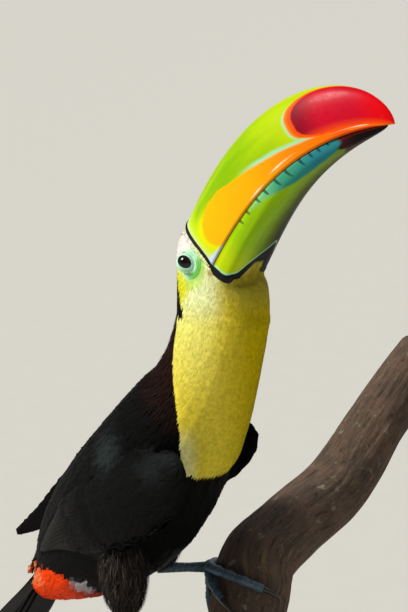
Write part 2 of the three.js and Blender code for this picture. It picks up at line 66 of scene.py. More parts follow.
BILL_LENGTH = 137 * MM  # along the cutting edge
BILL_DROOP = 0.934  # radians
BILL_DROOP_POWER = 1.59
UPPER_DEPTH = 34.1 * MM
UPPER_SWELL = 0.243
LOWER_DEPTH = 12.8 * MM
BILL_HALF = 19.4 * MM
OVERHANG = 0.5 * MM  # how far the upper half's edge hangs over the lower half
LOWER_WIDTH = 0.99
LOWER_REACH = 0.97

EYE = np.array([-8.4, 18.4, 15.4]) * MM  # in the bill's frame, on the left side
EYE_RADIUS = 5.6 * MM

# The spine's line from the bill's root to the vent, [y, z] from the bill's root.
SPINE = [
    (8.7, 5.4), (8.3, -11.5), (9, -38), (19.2, -66.5), (36, -91.5),
    (57.5, -122.5), (84.8, -155), (119.2, -186.2), (150.5, -211.5), (164, -220.5),
]

WINGS = {
    "right": {"side": -1, "bend": (-40, -1, -106), "tip": (-25, 140, -192), "above": 18, "below": 27},
    "left": {"side": 1, "bend": (39, 12, -106), "tip": (11, 202, -202), "above": 35, "below": 21},
}
WING_BOW = 13 * MM
WING_WRAP = 42 * MM
WING_SUNK = 2.4 * MM
WING_THICK = (12 * MM, 2.4 * MM)

TAIL_ROOT = np.array([0, 143.5, -193]) * MM
TAIL_LENGTH = 165 * MM
TAIL_SLOPE = math.radians(48)
TAIL_HALF = (15 * MM, 27 * MM)
TAIL_ROUNDING = 30 * MM
TAIL_ARCH = 5 * MM

LEGS = {
    "right": {
        "knee": (-22, 68, -158), "heel": (-26, 60, -214), "palm": (-17, 40, -247),
        "headings": {"outer_front": -14, "inner_front": 16, "outer_back": -22, "inner_back": 14},
    },
    "left": {
        "knee": (20, 78, -160), "heel": (25, 87, -201), "palm": (49, 58, -199.5),
        "headings": {"outer_front": -12, "inner_front": -38, "outer_back": 18, "inner_back": -62},
    },
}
SHANK = (3.6 * MM, 2.9 * MM, 3.9 * MM)  # radius at the heel, the middle and the palm
TOES = [  # name, length, way round the perch, radius at the root
    ("outer_front", 54, 1, 3.4),
    ("inner_front", 36, 1, 3.1),
    ("outer_back", 34, -1, 3.2),
    ("inner_back", 24, -1, 2.9),
]
TOE_CLEAR = 0.9
TOE_TAPER = 0.72
CLAW = {"length": 13, "root": 2.2, "taper": 0.97, "tip_lift": 3.0}

PERCH = [
    (-64, 15, -300), (-8, 28, -268), (42, 34, -240), (57, 39, -214), (66, 42, -196),
    (98, 44, -181), (144, 46, -164), (185, 48, -131), (236, 51, -94),
]
PERCH_RADII = [(0.0, 21.5), (0.4, 23.5), (1.0, 18.2)]  # share of its length, mm

BASE_SIZE = (230 * MM, 190 * MM, 14 * MM)
BASE_CORNER = 28 * MM
BASE_EDGE = 1.6 * MM
RODS = {"stand_rod_low": (-16, -14), "stand_rod_high": (42, -6)}  # x, y in mm
ROD_RADIUS = 5 * MM
ROD_COLLAR = [(4, 0), (4, 2.2), (3.2, 3), (0, 3.4)]  # out from the rod and up from its foot, in mm


def mm(values):
    return np.array(values, float) * MM


def smooth(value, low, high):
    """0 below low, 1 above high, and an even curve between; low may be above high."""
    share = np.clip((value - low) / (high - low), 0, 1)
    return share * share * (3 - 2 * share)


def mix(a, b, share):
    return a + (b - a) * share


def ease(value, low, high):
    """The same curve for a single number."""
    return float(smooth(value, low, high))


def unit(vector):
    length = np.linalg.norm(vector, axis=-1, keepdims=True)
    return vector / np.maximum(length, 1e-12)


def rgb(text):
    """A linear colour from a hexadecimal sRGB one."""
    parts = np.array([int(text[i : i + 2], 16) / 255 for i in (0, 2, 4)])
    return np.where(parts <= 0.04045, parts / 12.92, ((parts + 0.055) / 1.055) ** 2.4)


# ------------------------------------------------------------------ settings

def colour(name, description, text):
    return bpy.props.FloatVectorProperty(
        name=name, description=description, subtype="COLOR", size=3, min=0, max=1, default=tuple(rgb(text))
    )


def length(name, description, default, least):
    return bpy.props.FloatProperty(
        name=name, description=description, default=default, min=least, unit="LENGTH"
    )


class ToucanBillSettings(bpy.types.PropertyGroup):
    green: colour("Green", "Main colour of the upper half", "a6cc00")
    deep_green: colour("Deep green", "Shadowy green in the middle of the upper half", "90bc00")
    patch: colour("Patch", "Orange patch along the cutting edge", "ffb400")
    edge: colour("Tip edge", "Orange border of the tip", "ff5400")
    tip: colour("Tip", "Crimson tip", "cc0828")
    tip_end: colour("Tip end", "Purer red at the very tip", "ee0410")
    lower: colour("Lower green", "Main colour of the lower half", "98c600")
    teal: colour("Teal", "Blue patch of the lower half", "2a8890")
    line: colour("Line", "Pale turquoise lines", "9fe4b4")
    band: colour("Band", "Black rim at the root", "07090c")


class ToucanPlumageSettings(bpy.types.PropertyGroup):
    black: colour("Black", "Body feathers", "090909")
    nape: colour("Nape", "Maroon tinge of the nape", "26120d")
    bib: colour("Bib", "Yellow of the bib", "e4d040")
    wisp: colour("Wisps", "Cream wisps at the bib's lower edge", "fffcae")
    # painted shade: the bib's left side, away from the light, turns deeper olive
    olive: colour("Olive", "Deeper yellow of the bib's left side", "c4ae00")
    # painted highlight: the blue grey sheen is light laid into the black of the mantle and the wing's bend
    sheen: colour("Sheen", "Blue grey sheen of the mantle", "3c4647")
    # painted highlight: the pale greyish lilac patch in front of the vent
    lilac: colour("Lilac", "Greyish lilac patch in front of the vent", "b4b2b8")
    vent_dark: colour("Dark vent", "Darker red towards the belly", "8a1806")
    # painted highlight: the orange pink end of the vent
    vent_pale: colour("Pale vent", "Orange pink end of the vent", "ff8c58")
    bib_pale: colour("Pale bib", "Paler yellow towards the face", "e6e070")
    cheek: colour("Cheek", "Creamy white of the cheek", "f2f8b8")
    chin: colour("Chin", "Olive brown under the bill", "c4b848")
    # painted shade: the olive brown under the bill
    streak: colour("Streaks", "Dark streaks of the chin", "24260e")
    lore: colour("Lore", "Pinkish white in front of the eye", "f0eae4")
    mint: colour("Mint", "Bare skin round the eye", "b8eec8")
    leaf: colour("Leaf", "Deeper green below the eye", "58bc30")
    lime: colour("Lime", "Yellow green fringe of the bare skin", "b0dc38")
    gold: colour("Gold", "Bright yellow behind the eye", "e0de20")
    gape: colour("Gape", "Orange brown corner of the mouth", "b08428")
    rump: colour("Rump", "White above the tail", "e6ddd6")
    vent: colour("Vent", "Orange red under the tail", "ff4402")
    thigh: colour("Thigh", "Sooty thigh feathers", "2a2523")
    body_spacing: length("Body spacing", "Distance between body feathers", 2.1 * MM, MM)
    bib_spacing: length("Bib spacing", "Distance between bib feathers", 0.98 * MM, MM / 2)
    face_spacing: length("Face spacing", "Distance between face feathers", 0.82 * MM, MM / 2)
    skin_voxel: length("Skin voxel", "Fineness of the skin", 1.4 * MM, MM / 2)


class ToucanPerchSettings(bpy.types.PropertyGroup):
    bark: colour("Bark", "Main colour of the bark", "54483c")
    bark_light: colour("Light bark", "Worn pale bark", "7c6850")
    bark_dark: colour("Dark bark", "Furrows", "2c211c")
    wood: colour("Cut wood", "Cut ends", "b99a72")
    leg: colour("Leg", "Blue grey scales", "405868")
    leg_dark: colour("Leg seams", "Dark skin between scales", "1b2730")
    lacquer: colour("Lacquer", "Stand base", "24242a")


class ToucanStageSettings(bpy.types.PropertyGroup):
    floor: colour("Floor", "Plain pale floor", "cfcdc6")
    distance: length("Light distance", "How far the lights stand from the bird", 1.6, 0.5)


def settings(kind):
    return getattr(bpy.context.scene, "toucan_" + kind)


# ------------------------------------------------------------------ curves and frames

def rotation(axis, degrees):
    return np.array(Matrix.Rotation(math.radians(degrees), 3, axis))


HEAD = (
    rotation("Z", HEAD_TURN["yaw"])
    @ np.array([[0, 1, 0], [-1, 0, 0], [0, 0, 1.0]])
    @ rotation("Y", -HEAD_TURN["pitch"])
    @ rotation("X", HEAD_TURN["roll"])
)


def from_head(point):
    """A place in the bill's frame (forward, left, up) as a place of the part."""
    return BILL_ROOT + np.asarray(point) @ HEAD.T


def to_head(point):
    return (np.asarray(point) - BILL_ROOT) @ HEAD


class Line:
    """A smooth curve through points, evened out by length."""

    STEPS = 24  # between one point and the next
    MARKS = 241  # along the whole curve, for finding the nearest
    BATCH = 4000

    def __init__(self, points):
        knots = np.array(points, float)
        ends = np.vstack([2 * knots[0] - knots[1], knots, 2 * knots[-1] - knots[-2]])
        times = np.concatenate([[0], np.cumsum(np.sqrt(np.linalg.norm(np.diff(ends, axis=0), axis=1)))])
        run = []
        for i in range(1, len(ends) - 2):
            for t in np.linspace(times[i], times[i + 1], self.STEPS, endpoint=False):
                run.append(self._between(ends[i - 1 : i + 3], times[i - 1 : i + 3], t))
        run.append(knots[-1])
        self.points = np.array(run)
        steps = np.linalg.norm(np.diff(self.points, axis=0), axis=1)
        self.reach = np.concatenate([[0], np.cumsum(steps)])
        self.length = self.reach[-1]
        self.marks = np.linspace(0, 1, self.MARKS)
        self.marked = self.at(self.marks)

    @staticmethod
    def _between(points, k, t):
        """Four points in, one out: blended pairwise over wider and then narrower spans of their times k."""

        def blend(pair, start, end):
            return (end - t) / (end - start) * pair[0] + (t - start) / (end - start) * pair[1]

        a = [blend(points[j : j + 2], k[j], k[j + 1]) for j in range(3)]
        b = [blend(a[j : j + 2], k[j], k[j + 2]) for j in range(2)]
        return blend(b, k[1], k[2])

    def at(self, share):
        where = np.clip(share, 0, 1) * self.length
        return np.stack([np.interp(where, self.reach, self.points[:, i]) for i in range(3)], -1)

    def tangent(self, share):
        step = 0.004
        return unit(self.at(np.clip(share + step, 0, 1)) - self.at(np.clip(share - step, 0, 1)))

    def near(self, places):
        """The share of the line's length at which it is nearest to each place."""
        flat = np.atleast_2d(places)
        best = np.zeros(len(flat))
        for start in range(0, len(flat), self.BATCH):
            batch = slice(start, start + self.BATCH)
            best[batch] = self.marks[((flat[batch, None] - self.marked) ** 2).sum(2).argmin(1)]
        return best


spine = Line([BILL_ROOT + mm((0, y, z)) for y, z in SPINE])
perch_line = Line([BILL_ROOT + mm(p) for p in PERCH])


def along_and_round(places):
    """How far down the body places lie, in metres, and how far round it from the back, in radians."""
    share = spine.near(places)
    tangent = spine.tangent(share)
    away = places - spine.at(share)
    back = np.stack([np.zeros(len(share)), -tangent[:, 2], tangent[:, 1]], -1)
    rise = (away * back).sum(1)
    return share * spine.length, np.arctan2(away[:, 0], rise)


# ------------------------------------------------------------------ mesh helpers

def mesh_of(name, bm):
    mesh = bpy.data.meshes.new(name)
    bm.to_mesh(mesh)
    bm.free()
    return mesh


def placed(name, mesh, materials, slot, replaces=()):
    """Makes the object of a mesh, with its materials, and lets it ride on the part's one body."""
    mesh.polygons.foreach_set("use_smooth", [True] * len(mesh.polygons))
    for material in materials:
        mesh.materials.append(material)
    piece = bpy.data.objects.new(name, mesh)
    bpy.context.scene.collection.objects.link(piece)
    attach(piece, "root")
    if replaces:
        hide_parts(*replaces)


def finished(name, bm, materials, slot, replaces=()):
    placed(name, mesh_of(name, bm), materials, slot, replaces)


def sheet_of(bm, along, across, place):
    """Adds a grid whose point at shares (t, s) is moved to place(t, s), and keeps the shares as a UV map."""
    wrap = bm.loops.layers.uv.get("Wrap") or bm.loops.layers.uv.new("Wrap")
    made = bmesh.ops.create_grid(bm, x_segments=along, y_segments=across, size=0.5)["verts"]
    faces = {face for vert in made for face in vert.link_faces}
    for face in faces:
        for loop in face.loops:
            loop[wrap].uv = (loop.vert.co.x + 0.5, loop.vert.co.y + 0.5)
    for vert in made:
        vert.co = place(vert.co.x + 0.5, vert.co.y + 0.5)
    return made


def welded(bm, made, weld=1e-6):
    """Welds a sheet where it meets itself and fills the holes left; returns the faces that fill them."""
    bmesh.ops.remove_doubles(bm, verts=made, dist=weld)
    holes = [edge for edge in bm.edges if edge.is_boundary]
    return bmesh.ops.holes_fill(bm, edges=holes, sides=0)["faces"] if holes else []


def sealed(bm, made, weld=1e-6):
    welded(bm, made, weld)
    bmesh.ops.recalc_face_normals(bm, faces=bm.faces)


def tube_into(bm, along, around, place):
    """Adds a closed tube: place(t, angle) is its point at share t of its length and an angle round it."""
    sealed(bm, sheet_of(bm, along, around, lambda t, s: place(t, s * 2 * math.pi)))


def fbm(point):
    """Smooth noise about 0, in three octaves."""
    value, strength, place = 0.0, 1.0, Vector(point)
    for _ in range(3):
        value += noise.noise(place) * strength
        place = place * 2.1
        strength *= 0.5
    return value


# ------------------------------------------------------------------ materials

class Paint:
    """A Principled material, and short ways to add the nodes that vary it.
    Wherever a socket is fed, it takes an output, a number, a colour, or a colour's hexadecimal text."""

    def __init__(self, name, roughness=0.5, specular=0.5, **fixed):
        self.material = bpy.data.materials.new(name)
        self.material.use_nodes = True
        self.tree = self.material.node_tree
        self.shader = self.tree.nodes["Principled BSDF"]
        self.colour = None
        fixed.update(Roughness=roughness, Specular_IOR_Level=specular)
        for socket, value in fixed.items():
            self.shader.inputs[socket.replace("_", " ")].default_value = value

    def feed(self, socket, value):
        if isinstance(value, str):
            value = rgb(value)
        if isinstance(value, bpy.types.NodeSocket):
            self.tree.links.new(value, socket)
        elif hasattr(value, "__len__") and socket.type == "RGBA":
            socket.default_value = (*value, 1)
        else:
            socket.default_value = value

    def node(self, kind, sockets, **values):
        made = self.tree.nodes.new("ShaderNode" + kind)
        for name, value in values.items():
            setattr(made, name, value)
        for socket, value in sockets.items():
            self.feed(made.inputs[socket], value)
        return made

    def place(self, source="Object", scale=(1, 1, 1)):
        """Object coordinates, or a named UV map, scaled."""
        if source == "Object":
            out = self.node("TexCoord", {}).outputs["Object"]
        else:
            out = self.node("UVMap", {}, uv_map=source).outputs["UV"]
        return self.node("Mapping", {"Vector": out, "Scale": scale}).outputs["Vector"]

    def attribute(self, name, output="Fac"):
        return self.node("Attribute", {}, attribute_name=name).outputs[output]

    def noise(self, place, scale=1.0, detail=3.0, roughness=0.55, distortion=0.0):
        sockets = {"Vector": place, "Scale": scale, "Detail": detail}
        sockets.update(Roughness=roughness, Distortion=distortion)
        return self.node("TexNoise", sockets).outputs["Fac"]

    def grain(self, fineness, detail=3.0, roughness=0.55):
        """Noise of one size through the whole piece."""
        return self.noise(self.place(scale=(fineness,) * 3), 1.0, detail, roughness)

    def cells(self, fineness):
        sockets = {"Vector": self.place(scale=(fineness,) * 3), "Scale": 1.0}
        return self.node("TexVoronoi", sockets, feature="DISTANCE_TO_EDGE").outputs["Distance"]

    def waves(self, place, distortion, detail):
        sockets = {"Vector": place, "Scale": 1.0, "Distortion": distortion, "Detail": detail}
        return self.node("TexWave", sockets).outputs["Fac"]

    def sum(self, a, b, operation="ADD"):
        return self.node("Math", {0: a, 1: b}, operation=operation).outputs[0]

    def times(self, a, b):
        return self.sum(a, b, "MULTIPLY")

    def step(self, value, low, high, to=(0, 1)):
        """A smooth step from to[0] to to[1] as the value goes from low to high."""
        sockets = {"Value": value, "From Min": low, "From Max": high, "To Min": to[0], "To Max": to[1]}
        return self.node("MapRange", sockets, interpolation_type="SMOOTHSTEP").outputs["Result"]

    def mix(self, share, a, b, blend="MIX"):
        return self.node("Mix", {"Factor": share, 6: a, 7: b}, data_type="RGBA", blend_type=blend).outputs[2]

    def over(self, share, tone):
        """Lays one more colour over the material's own, as far as share says."""
        self.colour = self.mix(share, self.colour, tone)

    def done(self, roughness=None, bump=None, strength=0.3, distance=0.3 * MM):
        """The material, once its colour is laid, with what varies its roughness and its relief."""
        self.feed(self.shader.inputs["Base Color"], self.colour)
        if roughness is not None:
            self.feed(self.shader.inputs["Roughness"], roughness)
        if bump is not None:
            relief = self.node("Bump", {"Strength": strength, "Distance": distance, "Height": bump})
            self.feed(self.shader.inputs["Normal"], relief.outputs["Normal"])
        return self.material


def set_values(mesh, name, values, kind="FLOAT"):
    """Keeps one number or colour for each vertex of a mesh."""
    layer = mesh.attributes.new(name, kind, "POINT")
    if kind == "FLOAT":
        layer.data.foreach_set("value", np.asarray(values, np.float32))
    else:
        full = np.ones((len(values), 4), np.float32)
        full[:, :3] = values
        layer.data.foreach_set("color", full.ravel())


# ------------------------------------------------------------------ bill

EDGE_STEPS = 200
BILL_ALONG, BILL_AROUND = 170, 112  # faces of each half
EDGE_TURNS = -BILL_DROOP * ((np.arange(EDGE_STEPS) + 0.5) / EDGE_STEPS) ** BILL_DROOP_POWER
CUTTING_EDGE = np.vstack(
    [[0, 0], np.cumsum(np.stack([np.cos(EDGE_TURNS), np.sin(EDGE_TURNS)], -1), 0) * BILL_LENGTH / EDGE_STEPS]
)

# How far forward the horn starts, in millimetres, from the cutting edge up to the ridge.
HORN_START = [0.8, 2.0, 2.8, 3.7, 4.0, 3.8]
HORN_START_TURN = [0, 5, 10, 21, 38, 90]  # degrees up from the edge
HORN_START_RISE = [0, 3, 6, 12, 20, 34]  # the same places in millimetres

# Markings, by shares of the bill's length and degrees round it from the cutting edge.
TIP_START, TIP_CORNER = 0.64, 38
PATCH_END = (0.2, 17)  # middle of the patch's rounded rear end
PATCH_ALONG = [0.0, 0.185, 0.25, 0.3, 0.35, 0.405, 0.5, 0.58, 0.62, 0.7, 0.8, 1]
PATCH_TOP = [40, 40, 37.5, 31.5, 27.5, 23.5, 18.5, 14.5, 12.5, 10.5, 9.5, 9]
# The painted highlight on the ridge above the cutting edge: how far round it lies, in degrees, along the
# bill.
SHINE_ALONG = [0.0, 0.3, 0.4, 0.5, 0.6, 0.7, 0.85, 0.95, 1]
SHINE_UP = [0.6, 1.4, 3.6, 6.2, 7.6, 8, 7, 5, 4]
TEAL_ALONG = [0.3, 0.33, 0.395, 0.48, 0.545, 0.625, 0.71, 0.77, 0.8]
TEAL_END = [-6, 1, 7, 27, 47, 56, 54, 44, 30]
NOTCHES = [  # dark marks across the teal: where, and how far round
    (0.25, 4), (0.30, 5), (0.37, 7), (0.42, 11), (0.485, 22), (0.545, 25), (0.62, 22), (0.67, 16), (0.71, 13),
    (0.755, 8),
]
LOWER_TIP = 0.795
# Where the black rim under the lower half ends, at places across it in millimetres.
CHIN_ACROSS = [-18, -14, -7, -1.5, 5, 9, 11, 13, 15.5, 18]
CHIN_FRONT = [0.03, 0.036, 0.075, 0.1, 0.125, 0.15, 0.165, 0.15, 0.1, 0.03]
MARK_LIMIT = 40  # the largest signed distance that is kept


def bill_section(t):
    """A point of the cutting edge in the bill's side plane, and the direction across the bill there."""
    where = min(max(t, 0), 1) * EDGE_STEPS
    at = np.array([np.interp(where, np.arange(EDGE_STEPS + 1), CUTTING_EDGE[:, i]) for i in (0, 1)])
    turned = -BILL_DROOP * max(t, 0) ** BILL_DROOP_POWER
    return at, np.array([-math.sin(turned), math.cos(turned)])


def fade(t, power, root):
    return max(0.0, 1 - t**power) ** root


def bill_half(t):
    return BILL_HALF * fade(t, 1.9, 0.75) + (1 - t) * MM


def gathered(t):
    """Shares of the bill's length, closer together towards its tip."""
    return 1 - (1 - t) ** 1.35


def boxy(value, power):
    return math.copysign(abs(value) ** power, value)


def upper_point(t, angle):
    """The upper half: 0 is the right cutting edge, a quarter turn its ridge, and the rest its flat inside."""
    at, up = bill_section(t)
    depth = UPPER_DEPTH * (1 + UPPER_SWELL * t) * fade(t, 3.2, 0.62)
    rise = math.sin(angle)
    out = OVERHANG * fade(t, 6, 1) * -1 + (rise * depth if rise > 0 else -rise * 0.06 * depth)
    return np.array([at[0] + up[0] * out, -math.cos(angle) * bill_half(t), at[1] + up[1] * out])


def lower_point(share, angle):
    """The lower half: 0 is the right cutting edge, a quarter turn the middle of its underside."""
    t = share * LOWER_REACH
    at, up = bill_section(t)
    power = mix(0.3, 0.62, ease(t, 0, 0.6))
    depth = LOWER_DEPTH * (1 - 0.25 * t) * fade(share, 4, 0.6)
    half = bill_half(t) * LOWER_WIDTH * fade(share, 9, 0.5)
    drop = math.sin(angle)
    out = GAP / 2 + (boxy(drop, power) * depth if drop > 0 else -drop * 0.1 * depth)
    return np.array([at[0] - up[0] * out, boxy(-math.cos(angle), power) * half, at[1] - up[1] * out])


def bill_half_mesh(name, point):
    """Half of the bill, and how far along and round it each vertex is; its flat inside has -1 for round."""
    bm = bmesh.new()
    along = bm.verts.layers.float.new("along")
    round_it = bm.verts.layers.float.new("round")

    def place(t, s):
        return Vector(from_head(point(gathered(t), s * 2 * math.pi)))

    made = sheet_of(bm, BILL_ALONG, BILL_AROUND, place)
    wrap = bm.loops.layers.uv["Wrap"]
    for face in bm.faces:
        for loop in face.loops:
            t, s = loop[wrap].uv
            turn = s * 360 % 359.99
            loop.vert[along] = gathered(t)
            loop.vert[round_it] = min(turn, 180 - turn) if turn <= 180 else -1
    sealed(bm, made, 2e-6)
    mesh = mesh_of(name, bm)
    t, phi = (pulled(mesh.attributes[layer].data, "value").astype(float) for layer in ("along", "round"))
    return mesh, t, phi


def upper_marks(t, phi, _):
    """Signed distances, in millimetres, into each marking of the upper half; phi is degrees from its edge."""
    length = BILL_LENGTH / MM
    above = TIP_START + 0.0001 * (phi - TIP_CORNER) ** 2
    below = TIP_START + 0.02 * (np.maximum(TIP_CORNER - phi, 0) / 20) ** 4.4
    rear = np.where(phi > TIP_CORNER, above, below)
    floor = 0.5 * (phi - (10 - 3 * smooth(t, 0.9, 1)))
    rear_end = (1 - np.hypot((t - PATCH_END[0]) / 0.122, (phi - PATCH_END[1]) / 23.5)) * 10
    shine = np.abs(phi - np.interp(t, SHINE_ALONG, SHINE_UP))
    return {
        "tip": np.minimum((t - rear) * length, floor),
        "patch": np.where(t < PATCH_END[0], rear_end, (np.interp(t, PATCH_ALONG, PATCH_TOP) - phi) * 0.42),
        "gape": (9 * (1 - t / 0.125) - phi) * 0.45,
        "rim": (0.085 + 0.03 * smooth(phi, 50, 90) - t) * length,
        "root": np.interp(phi, HORN_START_TURN, HORN_START) - t * length,
        "shine": 0.5 - shine * 0.6 - 3 * smooth(t, 0.9, 0.98),
    }


def lower_marks(t, phi, across):
    """The same for the lower half; across is how far to the left a place is, in millimetres."""
    length = BILL_LENGTH / MM
    wedge = np.full(len(t), -9.0)
    for place, depth in NOTCHES:
        width = 0.95 * np.clip(1 - phi / depth, 0, 1) ** 0.6
        inside = width - np.abs(t - (place + 0.0006 * phi)) * length
        wedge = np.maximum(wedge, np.where(phi < depth, inside, -3.0))
    wall = np.interp(phi, [0, 7, 27, 50], [0.016, 0.012, 0.017, 0.03])
    bottom = np.interp(across, CHIN_ACROSS, CHIN_FRONT)
    band = (mix(wall, bottom, smooth(phi, 48, 66)) - t) * length
    chin = band - np.interp(across, [-18, -14, -7, 0, 10], [12, 11, 7.5, 5, 4]) - 9 * smooth(phi, 66, 40)
    return {
        "teal": (np.interp(t, TEAL_ALONG, TEAL_END) - phi) * 0.32,
        "wedge": wedge,
        "tip": (t - LOWER_TIP - 0.012 * np.sin(phi * 0.13)) * length,
        "band": band,
        "chin": np.minimum(chin, np.interp(t, [0, 0.05, 0.1, 0.165], [9, 7.5, 5.5, 4]) - across),
        # how far towards the far side: its own olive underside, darkened there further with painted shade
        "under": across - np.interp(t, [0, 0.2, 0.4, 0.6, 0.8], [2, 2, 1, -1, -2]),
    }


def bill_paint(name, drift):
    """Horn, glossy, with fine growth lines and a few worn patches; drift is how far its markings waver."""
    paint = Paint(name, roughness=0.32, specular=0.1, Coat_Weight=0.03, Coat_Roughness=0.12)
    wrap = paint.place("Wrap", (9, 40, 1))
    lines = paint.noise(paint.place("Wrap", (120, 5, 1)), 1.0, 4, 0.6)
    broad = paint.step(paint.noise(wrap, 0.6, 3, 0.5), 0.35, 0.65)
    wobble = paint.times(paint.sum(paint.noise(wrap, 1.2, 2), 0.5, "SUBTRACT"), 1.3)
    scuffs = paint.grain(260, 5, 0.7)

    def into(mark, soft, shift=0.0, moved=drift):
        """1 inside a marking and 0 outside, across a soft edge that is shifted inwards."""
        value = paint.sum(paint.attribute(mark), paint.times(wobble, moved))
        return paint.step(value, shift - soft, shift + soft)

    height = paint.sum(paint.times(lines, 0.5), scuffs)
    return paint, into, broad, scuffs, height


def upper_paint():
    horn = settings("bill")
    paint, into, broad, scuffs, height = bill_paint("bill_green", 1.0)
    t, phi = paint.attribute("along"), paint.attribute("round")
    step, times, over = paint.step, paint.times, paint.over

    paint.colour = paint.mix(broad, horn.green, horn.deep_green)
    deep = times(times(step(phi, 20, 40), step(phi, 58, 48)), step(t, 0.52, 0.3))
    over(times(deep, 0.6), "7ab000")
    over(step(t, 0.42, 0.62, (0, 0.6)), "c2d800")
    over(step(phi, 62, 88, (0, 0.6)), "c8de10")
    over(into("rim", 6, -1), "c3e014")
    over(into("rim", 2.5, 5.5), "cfe69a")
    over(times(into("patch", 2.6, -2.6), step(t, 0.2, 0.08)), "dfe600")
    over(times(into("patch", 0.8, -1.2), step(t, 0.34, 0.46)), horn.line)
    patch = paint.mix(step(t, 0.14, 0.34), "ffb800", "ffb000")
    patch = paint.mix(step(t, 0.32, 0.66), patch, "ff8200")
    patch = paint.mix(step(t, 0.62, 0.95), patch, "f03404")
    over(into("patch", 0.7), patch)
    line = times(into("tip", 0.7, -5.2), step(phi, 60, 42))
    over(times(line, step(phi, 12, 18, (0, 0.8))), horn.line)
    over(into("tip", 0.8, -3.9), "ff7a08")
    over(into("tip", 0.9, -2.2), horn.edge)
    crimson = paint.mix(step(t, 0.64, 0.76), "860420", horn.tip)
    crimson = paint.mix(step(t, 0.84, 0.97), crimson, horn.tip_end)
    crimson = paint.mix(step(phi, 20, 9, (0, 0.6)), crimson, horn.edge)
    over(into("tip", 0.7), crimson)
    over(into("gape", 0.9), "cfe0f2")
    # painted highlight: a pale line on the ridge above the cutting edge
    over(into("shine", 0.35, 0.0, 0.12), "f7dcc0")
    over(step(phi, 0.5, 0.05, (0, 0.75)), "a04a10")
    over(into("root", 0.3, 0.0, 0.1), "e9ecdc")
    over(step(scuffs, 0.62, 0.8, (0, 0.12)), "e8e2b0")
    return paint.done(step(scuffs, 0.3, 0.8, (0.3, 0.46)), height, 0.12, 0.15 * MM)


def lower_paint():
    horn = settings("bill")
    paint, into, broad, scuffs, height = bill_paint("bill_lower_green", 0.35)
    t, phi = paint.attribute("along"), paint.attribute("round")
    step, over = paint.step, paint.over

    paint.colour = paint.mix(broad, horn.lower, "8cba00")
    over(step(t, 0.2, 0.06, (0, 0.7)), "c4d400")
    # olive underside towards the far side, and darker there as painted shade
    over(into("under", 9, -9, 3.0), "6f8a00")
    over(into("under", 6, -1, 3.0), "4a5604")
    teal = paint.mix(step(t, 0.36, 0.52), "78c884", "3ca07c")
    teal = paint.mix(step(t, 0.54, 0.7), teal, horn.teal)
    teal = paint.mix(step(phi, 4, 40, (0, 0.45)), teal, "0f6a86")
    over(into("teal", 2.2, 0, 1.0), teal)
    # painted shade: near black at the far edge, turned away from the light
    over(into("under", 4, 6, 2.0), "1c2420")
    over(paint.times(into("wedge", 0.5), 0.85), "123a3c")
    dark = paint.mix(step(t, 0.8, 0.88), "3a1212", "120507")
    dark = paint.mix(step(phi, 12, 2, (0, 0.5)), dark, "a02a1a")
    over(into("tip", 1.6, 0, 1.2), dark)
    over(into("band", 0.9, -1.0), horn.line)
    over(into("band", 0.3, 0.0, 0.1), horn.band)
    # painted shade: the olive brown of the chin under the bill, where its feathers reach onto it
    over(into("chin", 0.6), "aa9c3c")
    over(step(phi, 1.2, 0.2, (0, 0.6)), "7c3c2c")
    rough = paint.sum(step(scuffs, 0.3, 0.8, (0.3, 0.46)), step(phi, 60, 90, (0, 0.25)))
    return paint.done(rough, height, 0.12, 0.15 * MM)


class TOUCAN_OT_bill(bpy.types.Operator):
    """Both halves of the bill, with their markings, and the black rim at its root"""

    bl_idname = "toucan.bill"
    bl_label = "Bill"

    def execute(self, context):
        for half, slot, point, marks, paint in (
            ("upper", "bill_green", upper_point, upper_marks, upper_paint()),
            ("lower", "bill_lower_green", lower_point, lower_marks, lower_paint()),
        ):
            mesh, t, phi = bill_half_mesh(f"bill_{half}_horn", point)
            across = to_head(read_points(mesh))[:, 1] / MM
            for mark, values in marks(t, np.maximum(phi, 0), across).items():
                values = np.where(phi < 0, -MARK_LIMIT, values)
                set_values(mesh, mark, np.clip(values, -MARK_LIMIT, MARK_LIMIT))
                if mark in ("chin", "root"):
                    shared[mark] = mesh, values
            placed(f"bill_{half}_horn", mesh, [paint], slot, [f"bill_{half}"])
        self.rim()
        return {"FINISHED"}

    def rim(self):
        """A ring of black skin: round its cross-section, then round the bill's root, open below."""

        def root(s):
            angle = s % 1 * 2 * math.pi
            if angle <= math.pi:
                return np.array([-math.cos(angle) * bill_half(0), math.sin(angle) * UPPER_DEPTH])
            across, down = boxy(-math.cos(angle), 0.3), boxy(math.sin(angle), 0.3)
            return np.array([across * bill_half(0), down * LOWER_DEPTH])

        def place(t, s):
            end = max(abs(s - 0.5) * 2 - 0.93, 0) / 0.07
            s = mix(0.8, 1.7, s)
            y, z = root(s)
            here, ahead = root(s - 0.004), root(s + 0.004)
            out = unit(np.array([ahead[1] - here[1], here[0] - ahead[0]]))
            if out @ np.array([y, z - 0.01]) < 0:
                out = -out
            angle = t * 2 * math.pi
            low = ease(-z, -1 * MM, 2 * MM)
            middle = float(np.interp(z / MM, HORN_START_RISE, HORN_START))
            size = math.sqrt(1 - end**2 * 0.98)
            x = mix(middle, -0.4, low) * MM + math.cos(angle) * mix(1.15, 2.1, low) * MM * size
            lift = -0.1 * MM + math.sin(angle) * 0.42 * MM * size
            return Vector(from_head((x, y + out[0] * lift, z + out[1] * lift)))

        bm = bmesh.new()
        sealed(bm, sheet_of(bm, 12, 240, place))
        paint = Paint("bill_rim", roughness=0.5, specular=0.2)
        grain = paint.grain(900, 4)
        paint.colour = paint.mix(paint.step(grain, 0.4, 0.75), settings("bill").band, "111315")
        finished("bill_rim_skin", bm, [paint.done(bump=grain, strength=0.25)], "bill_rim")


# ------------------------------------------------------------------ skin

